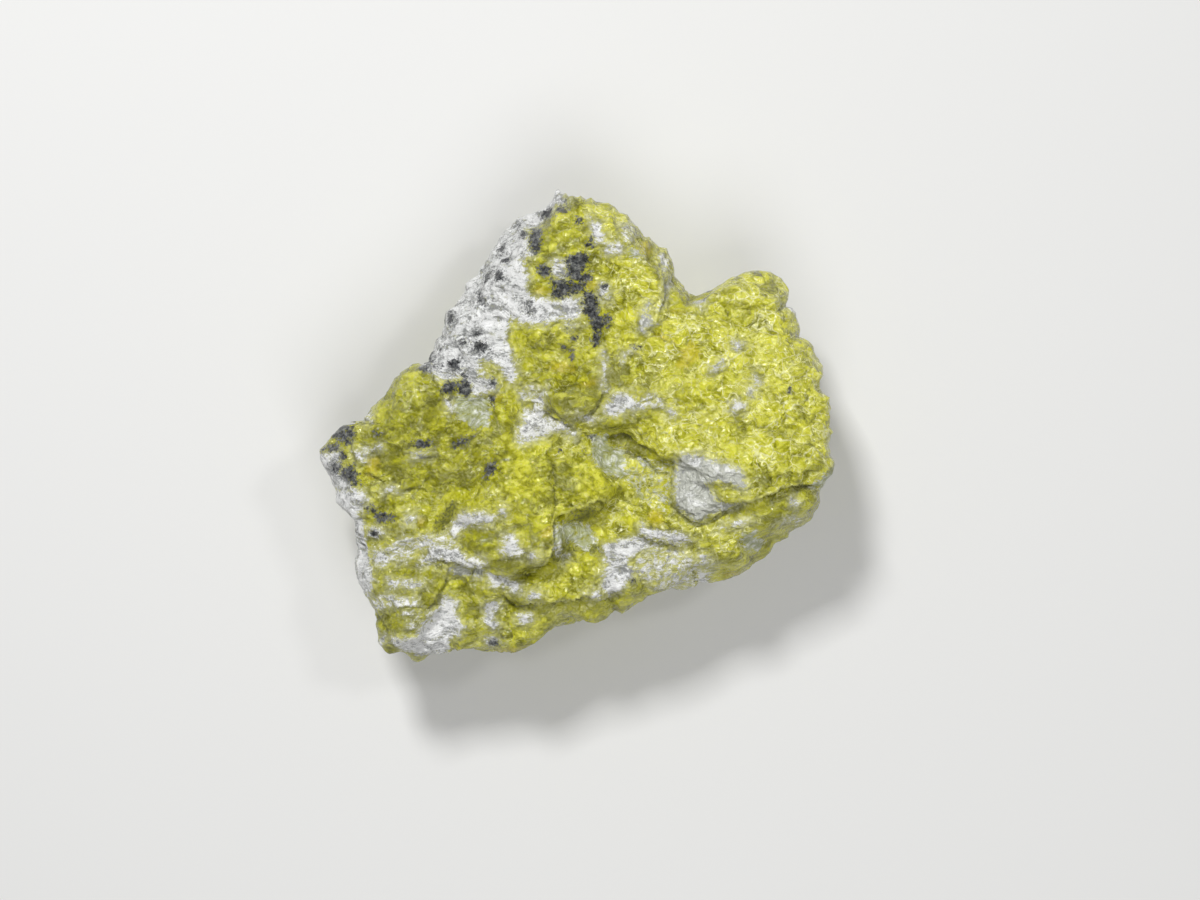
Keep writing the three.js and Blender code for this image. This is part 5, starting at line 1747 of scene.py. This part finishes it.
    def flakes(self, g: Graph, place: Socket, size: float) -> tuple[Socket, Socket]:
        """Flat flakes, each with its own tint and tilt.

        Args:
            g: The material's nodes.
            place: The place in millimetres.
            size: Width of a flake in millimetres.

        Returns:
            The flake's tint, from 0 to 1, and the height of its tilted face in millimetres.
        """
        cells = g.cells(place, size)
        parts = g.node("SeparateColor")
        g.put(cells.outputs["Color"], parts.inputs[0])
        across = g.vector("SUBTRACT", place, cells.outputs["Position"])
        tilt = g.vector("SUBTRACT", cells.outputs["Color"], MIDDLE)
        slope = g.fed(g.node("VectorMath", operation="DOT_PRODUCT"), (across, tilt))
        return parts.outputs[0], slope.outputs["Value"]

    def veins(self, g: Graph, place: Socket, crackle: Socket) -> Socket:
        """A broken net of thin pale veins, in two sizes.

        Args:
            g: The material's nodes.
            place: The place in millimetres.
            crackle: How finely the stone is crackled there.

        Returns:
            How much of a vein shows, from 0 to 1.
        """
        shares = []
        for size, width in self.vein_nets:
            gap = g.cells(place, size, "DISTANCE_TO_EDGE").outputs["Distance"]
            gaps = replace(self.vein_gaps, size=self.vein_gaps.size * size)
            broken = g.step(g.noise(place, gaps), *self.vein_fade)
            line = g.math("MULTIPLY", g.step(gap, width, self.vein_core * width), broken)
            shares.append(g.math("MULTIPLY", line, g.between(crackle, *self.vein_range)))
        return g.math("MAXIMUM", *shares)

    def fibre_pattern(self, g: Graph, place: Socket) -> Socket:
        """Fine streaks that sweep along the skin."""
        swept = g.warped(place, *self.fibre_swirls)
        return g.noise(g.stretched(swept, self.fibre_angle, self.fibre_share), self.fibre_grain)

    def white_layer(self, g: Graph, place: Socket, fibres: Socket) -> Layer:
        """Matted white fibres, grey where they are thin and speckled beside dark grains.

        Args:
            g: The material's nodes.
            place: The place in millimetres.
            fibres: The fine streaks.

        Returns:
            The look of the white patches.
        """
        cloud = g.noise(g.warped(place, self.white_swirls), self.white_cloud)
        fine = g.noise(place, self.white_fine)
        swept = g.warped(place, self.silk_swirls)
        silk = g.noise(g.stretched(swept, self.fibre_angle, self.silk_share), self.silk)
        fibre_tone, cloud_tone, fine_tone = self.white_tones
        tone = g.plus(g.math("MULTIPLY", fibres, fibre_tone), cloud, cloud_tone)
        tone = g.math("MULTIPLY_ADD", fine, fine_tone, tone)
        tone = g.plus(tone, silk, self.silk_tone)
        colour = g.blend(g.step(tone, *self.white_fade), self.ash, self.chalk)
        thin = g.step(cloud, *self.thin_clouds)
        thin = g.math("MULTIPLY", thin, g.step(fibres, *self.thin_fibres))
        colour = g.blend(g.math("MULTIPLY", thin, self.thin_share), colour, self.film)
        specks = g.step(g.noise(place, self.speck_grain), *self.speck_fade)
        specks = g.math("MULTIPLY", specks, g.step(cloud, *self.speck_clouds))
        near = g.step(g.attribute(Mineral.DARK.value), *self.speck_depths)
        colour = g.blend(g.math("MULTIPLY", specks, near), colour, self.slate)
        fibre_height, fine_height = self.white_heights
        relief = g.plus(g.math("MULTIPLY", fibres, fibre_height), silk, self.silk_height)
        roughness = g.between(fine, *self.white_roughness)
        return Layer(colour, roughness, g.math("MULTIPLY_ADD", fine, fine_height, relief))

    def silver_layer(self, g: Graph, place: Socket, fibres: Socket) -> Layer:
        """Silky grey faces in soft folds, painted lighter on the fold crests and greyer in their
        hollows.

        Args:
            g: The material's nodes.
            place: The place in millimetres.
            fibres: The fine streaks.

        Returns:
            The look of the silver faces.
        """
        folds = g.noise(g.warped(place, self.fold_swirls), self.folds)
        fine = g.noise(place, self.silver_fine)
        fine_tone, fold_shading_tone = self.silver_tones
        tone = g.math("MULTIPLY_ADD", fine, fine_tone, g.math("MULTIPLY", folds, fold_shading_tone))
        # Painted highlight and shade: chalk on the fold crests, ash in the hollows.
        colour = g.painted(
            self.ash, (tone, self.silver_fade, self.silver), (tone, self.chalk_highlight_fade, self.chalk)
        )
        fold_height, fibre_height, fine_height = self.silver_heights
        relief = g.plus(g.math("MULTIPLY", folds, fold_height), fibres, fibre_height)
        roughness = g.between(fine, *self.silver_roughness)
        return Layer(colour, roughness, g.math("MULTIPLY_ADD", fine, fine_height, relief))

    def mist_layer(self, g: Graph, place: Socket, fibres: Socket) -> Layer:
        """Grey-green translucent fibres.

        Args:
            g: The material's nodes.
            place: The place in millimetres.
            fibres: The fine streaks.

        Returns:
            The look of the misty windows.
        """
        cloud = g.noise(place, self.mist_cloud)
        fibre_tone, cloud_tone = self.mist_tones
        tone = g.plus(g.math("MULTIPLY", fibres, fibre_tone), cloud, cloud_tone)
        colour = g.painted(
            self.olive, (tone, self.mist_fade, self.mist), (tone, self.mist_chalk, self.chalk)
        )
        roughness = g.between(fibres, *self.mist_roughness)
        return Layer(colour, roughness, g.plus(fibres, cloud, self.mist_height))

    def moss_and_shade_layer(self, g: Graph, place: Socket) -> Layer:
        """Dark mossy green, speckled; it also paints the shadow below the right slab.

        Args:
            g: The material's nodes.
            place: The place in millimetres.

        Returns:
            The look of the mossy wedges and of that painted shadow.
        """
        grain = g.noise(place, self.moss_grain)
        colour = g.blend(g.step(grain, *self.moss_and_shade_fade), self.shade, self.olive)
        roughness = g.between(grain, *self.moss_roughness)
        return Layer(colour, roughness, g.math("MULTIPLY", grain, self.moss_height))

    def dark_layer(self, g: Graph, place: Socket) -> Layer:
        """Dark metallic grains, finely speckled.

        Args:
            g: The material's nodes.
            place: The place in millimetres.

        Returns:
            The look of the dark grains.
        """
        grain = g.noise(place, self.dark_grain)
        cloud = g.noise(place, self.dark_cloud)
        colour = g.painted(
            self.coal, (grain, self.slate_fade, self.slate),
            (cloud, self.coal_fade, self.coal), (grain, self.glint_fade, self.silver),
        )
        roughness = g.between(grain, *self.dark_roughness)
        return Layer(colour, roughness, g.math("MULTIPLY", grain, self.dark_height))

    def build(self) -> bpy.types.Material:
        """Makes the material.

        Returns:
            The material, which reads the mineral depths stored on the mesh.
        """
        g = Graph("lizardite")
        place = g.scaled(g.node("TexCoord").outputs["Object"], 1.0 / MM)
        fibres = self.fibre_pattern(g, place)
        ragged = g.centred(g.noise(place, self.fray))
        streaks = g.centred(fibres)
        streaks = g.math("MULTIPLY", streaks, self.streak_share * self.fray_reach)
        fray = g.math("MULTIPLY", ragged, self.fray_reach)
        matted = g.math("MULTIPLY", g.math("ADD", fray, streaks), self.fray_share)
        spread = g.centred(g.noise(g.warped(place, self.spread_swirls), self.spread_grain))
        spread = g.math("MULTIPLY", spread, self.spread_share * self.fray_reach)
        soft = g.math("MULTIPLY", ragged, self.soft_reach)
        inner = g.math("SUBTRACT", matted, self.white_inset)
        layers = (
            (Mineral.MIST, self.mist_layer(g, place, fibres), matted, self.mist_border),
            (Mineral.MOSS_AND_SHADE, self.moss_and_shade_layer(g, place), spread, self.moss_and_shade_border),
            (Mineral.SILVER, self.silver_layer(g, place, fibres), inner, self.silver_border),
            (Mineral.WHITE, self.white_layer(g, place, fibres), inner, self.white_border),
            (Mineral.DARK, self.dark_layer(g, place), spread, self.dark_border),
        )
        base = self.green_layer(g, place, soft)
        colour, rough, relief = base.colour, base.roughness, base.relief
        white, silver = (g.attribute(m.value) for m in (Mineral.WHITE, Mineral.SILVER))
        pale = g.math("ADD", g.math("MAXIMUM", white, silver), matted)
        colour = g.blend(g.step(pale, *self.film_fade), colour, self.film)
        for mineral, layer, edge, width in layers:
            share = g.step(g.math("ADD", g.attribute(mineral.value), edge), -width, width)
            colour = g.blend(share, colour, layer.colour)
            rough = g.between(share, rough, layer.roughness)
            smooth_share = g.step(g.attribute(mineral.value), *self.relief_fade)
            relief = g.between(smooth_share, relief, layer.relief)
        bump = g.node("Bump")
        bump.inputs["Distance"].default_value = MM
        bump.inputs["Strength"].default_value = 1.0
        g.put(relief, bump.inputs["Height"])
        surface = g.node("BsdfPrincipled")
        for value, name in (
            (colour, "Base Color"), (rough, "Roughness"),
            (bump.outputs[0], "Normal"), (bump.outputs[0], "Coat Normal"),
            (self.coat_weight, "Coat Weight"), (self.coat_roughness, "Coat Roughness"),
            (self.index_of_refraction, "IOR"),
        ):
            g.put(value, surface.inputs[name])
        g.put(surface.outputs[0], g.node("OutputMaterial").inputs["Surface"])
        return g.material


@dataclass(frozen=True)
class Lamp:
    """A square soft light: where it hangs and the length of its side in metres, and its watts."""

    name: str
    place: tuple[float, float, float]
    size: float
    power: float

    def hang(self) -> None:
        """Adds the light to the scene, facing the stone."""
        light = bpy.data.lights.new(self.name, "AREA")
        light.size = self.size
        light.energy = self.power
        lamp = bpy.data.objects.new(self.name, light)
        lamp.location = self.place
        lamp.rotation_euler = Vector(self.place).to_track_quat("Z", "Y").to_euler()
        bpy.context.scene.collection.objects.link(lamp)


@dataclass
class Studio:
    """The pale floor, the soft lights and the camera above the stone."""

    floor_size: float = 4.0
    floor_colour: Colour = (0.74, 0.74, 0.73, 1)
    floor_roughness: float = 0.85
    lamps: tuple[Lamp, ...] = (
        Lamp("key", (-0.2, 0.45, 0.66), 0.15, 4.7),
        Lamp("glint", (0.38, 0.2, 0.7), 0.1, 0.7),
        Lamp("fill", (0.1, -0.4, 0.75), 0.5, 2.7),
    )
    world_colour: Colour = (1.0, 1.0, 1.0, 1)
    world_strength: float = 0.18
    pixels_per_mm: float = 4.8
    picture_width: float = 1200.0
    lens: float = 85.0
    sensor: float = 36.0
    face_height: float = 34.0
    centre: Place = (4.9, -5.0)

    def build(self) -> None:
        """Makes the floor, the lights and the camera."""
        self.add_floor()
        for lamp in self.lamps:
            lamp.hang()
        world = bpy.data.worlds.new("studio")
        world.use_nodes = True
        background = world.node_tree.nodes["Background"]
        background.inputs["Color"].default_value = self.world_colour
        background.inputs["Strength"].default_value = self.world_strength
        bpy.context.scene.world = world
        bpy.context.scene.view_settings.view_transform = "Standard"
        self.add_camera()

    def add_floor(self) -> None:
        """Lays a wide pale floor under the stone."""
        shape = bmesh.new()
        bmesh.ops.create_grid(shape, x_segments=1, y_segments=1, size=self.floor_size / 2)
        mesh = bpy.data.meshes.new("floor")
        shape.to_mesh(mesh)
        shape.free()
        floor = bpy.data.objects.new("floor", mesh)
        bpy.context.scene.collection.objects.link(floor)
        g = Graph("floor")
        surface = g.node("BsdfPrincipled")
        surface.inputs["Base Color"].default_value = self.floor_colour
        surface.inputs["Roughness"].default_value = self.floor_roughness
        g.put(surface.outputs[0], g.node("OutputMaterial").inputs["Surface"])
        mesh.materials.append(g.material)

    def add_camera(self) -> None:
        """Hangs the camera straight above, with the stone's peak up in the picture."""
        camera = bpy.data.cameras.new("camera")
        camera.lens = self.lens
        camera.sensor_width = self.sensor
        width = self.picture_width / self.pixels_per_mm * MM
        above = width * self.lens / self.sensor + self.face_height * MM
        stand = bpy.data.objects.new("camera", camera)
        stand.location = (self.centre[0] * MM, self.centre[1] * MM, above)
        bpy.context.scene.collection.objects.link(stand)
        bpy.context.scene.camera = stand


def main() -> None:
    """Builds the stone and its studio."""
    logging.basicConfig(level=logging.INFO, format="%(name)s: %(message)s")
    Studio().build()
    stone = StoneSkin().build()
    stone.data.materials.append(LizarditeFinish().build())
    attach(stone, "root")
    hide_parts(STONE_NODE)
    vertices, faces = len(stone.data.vertices), len(stone.data.polygons)
    log.info("%s: %d vertices, %d faces", stone.name, vertices, faces)


if __name__ == "__main__":
    main()
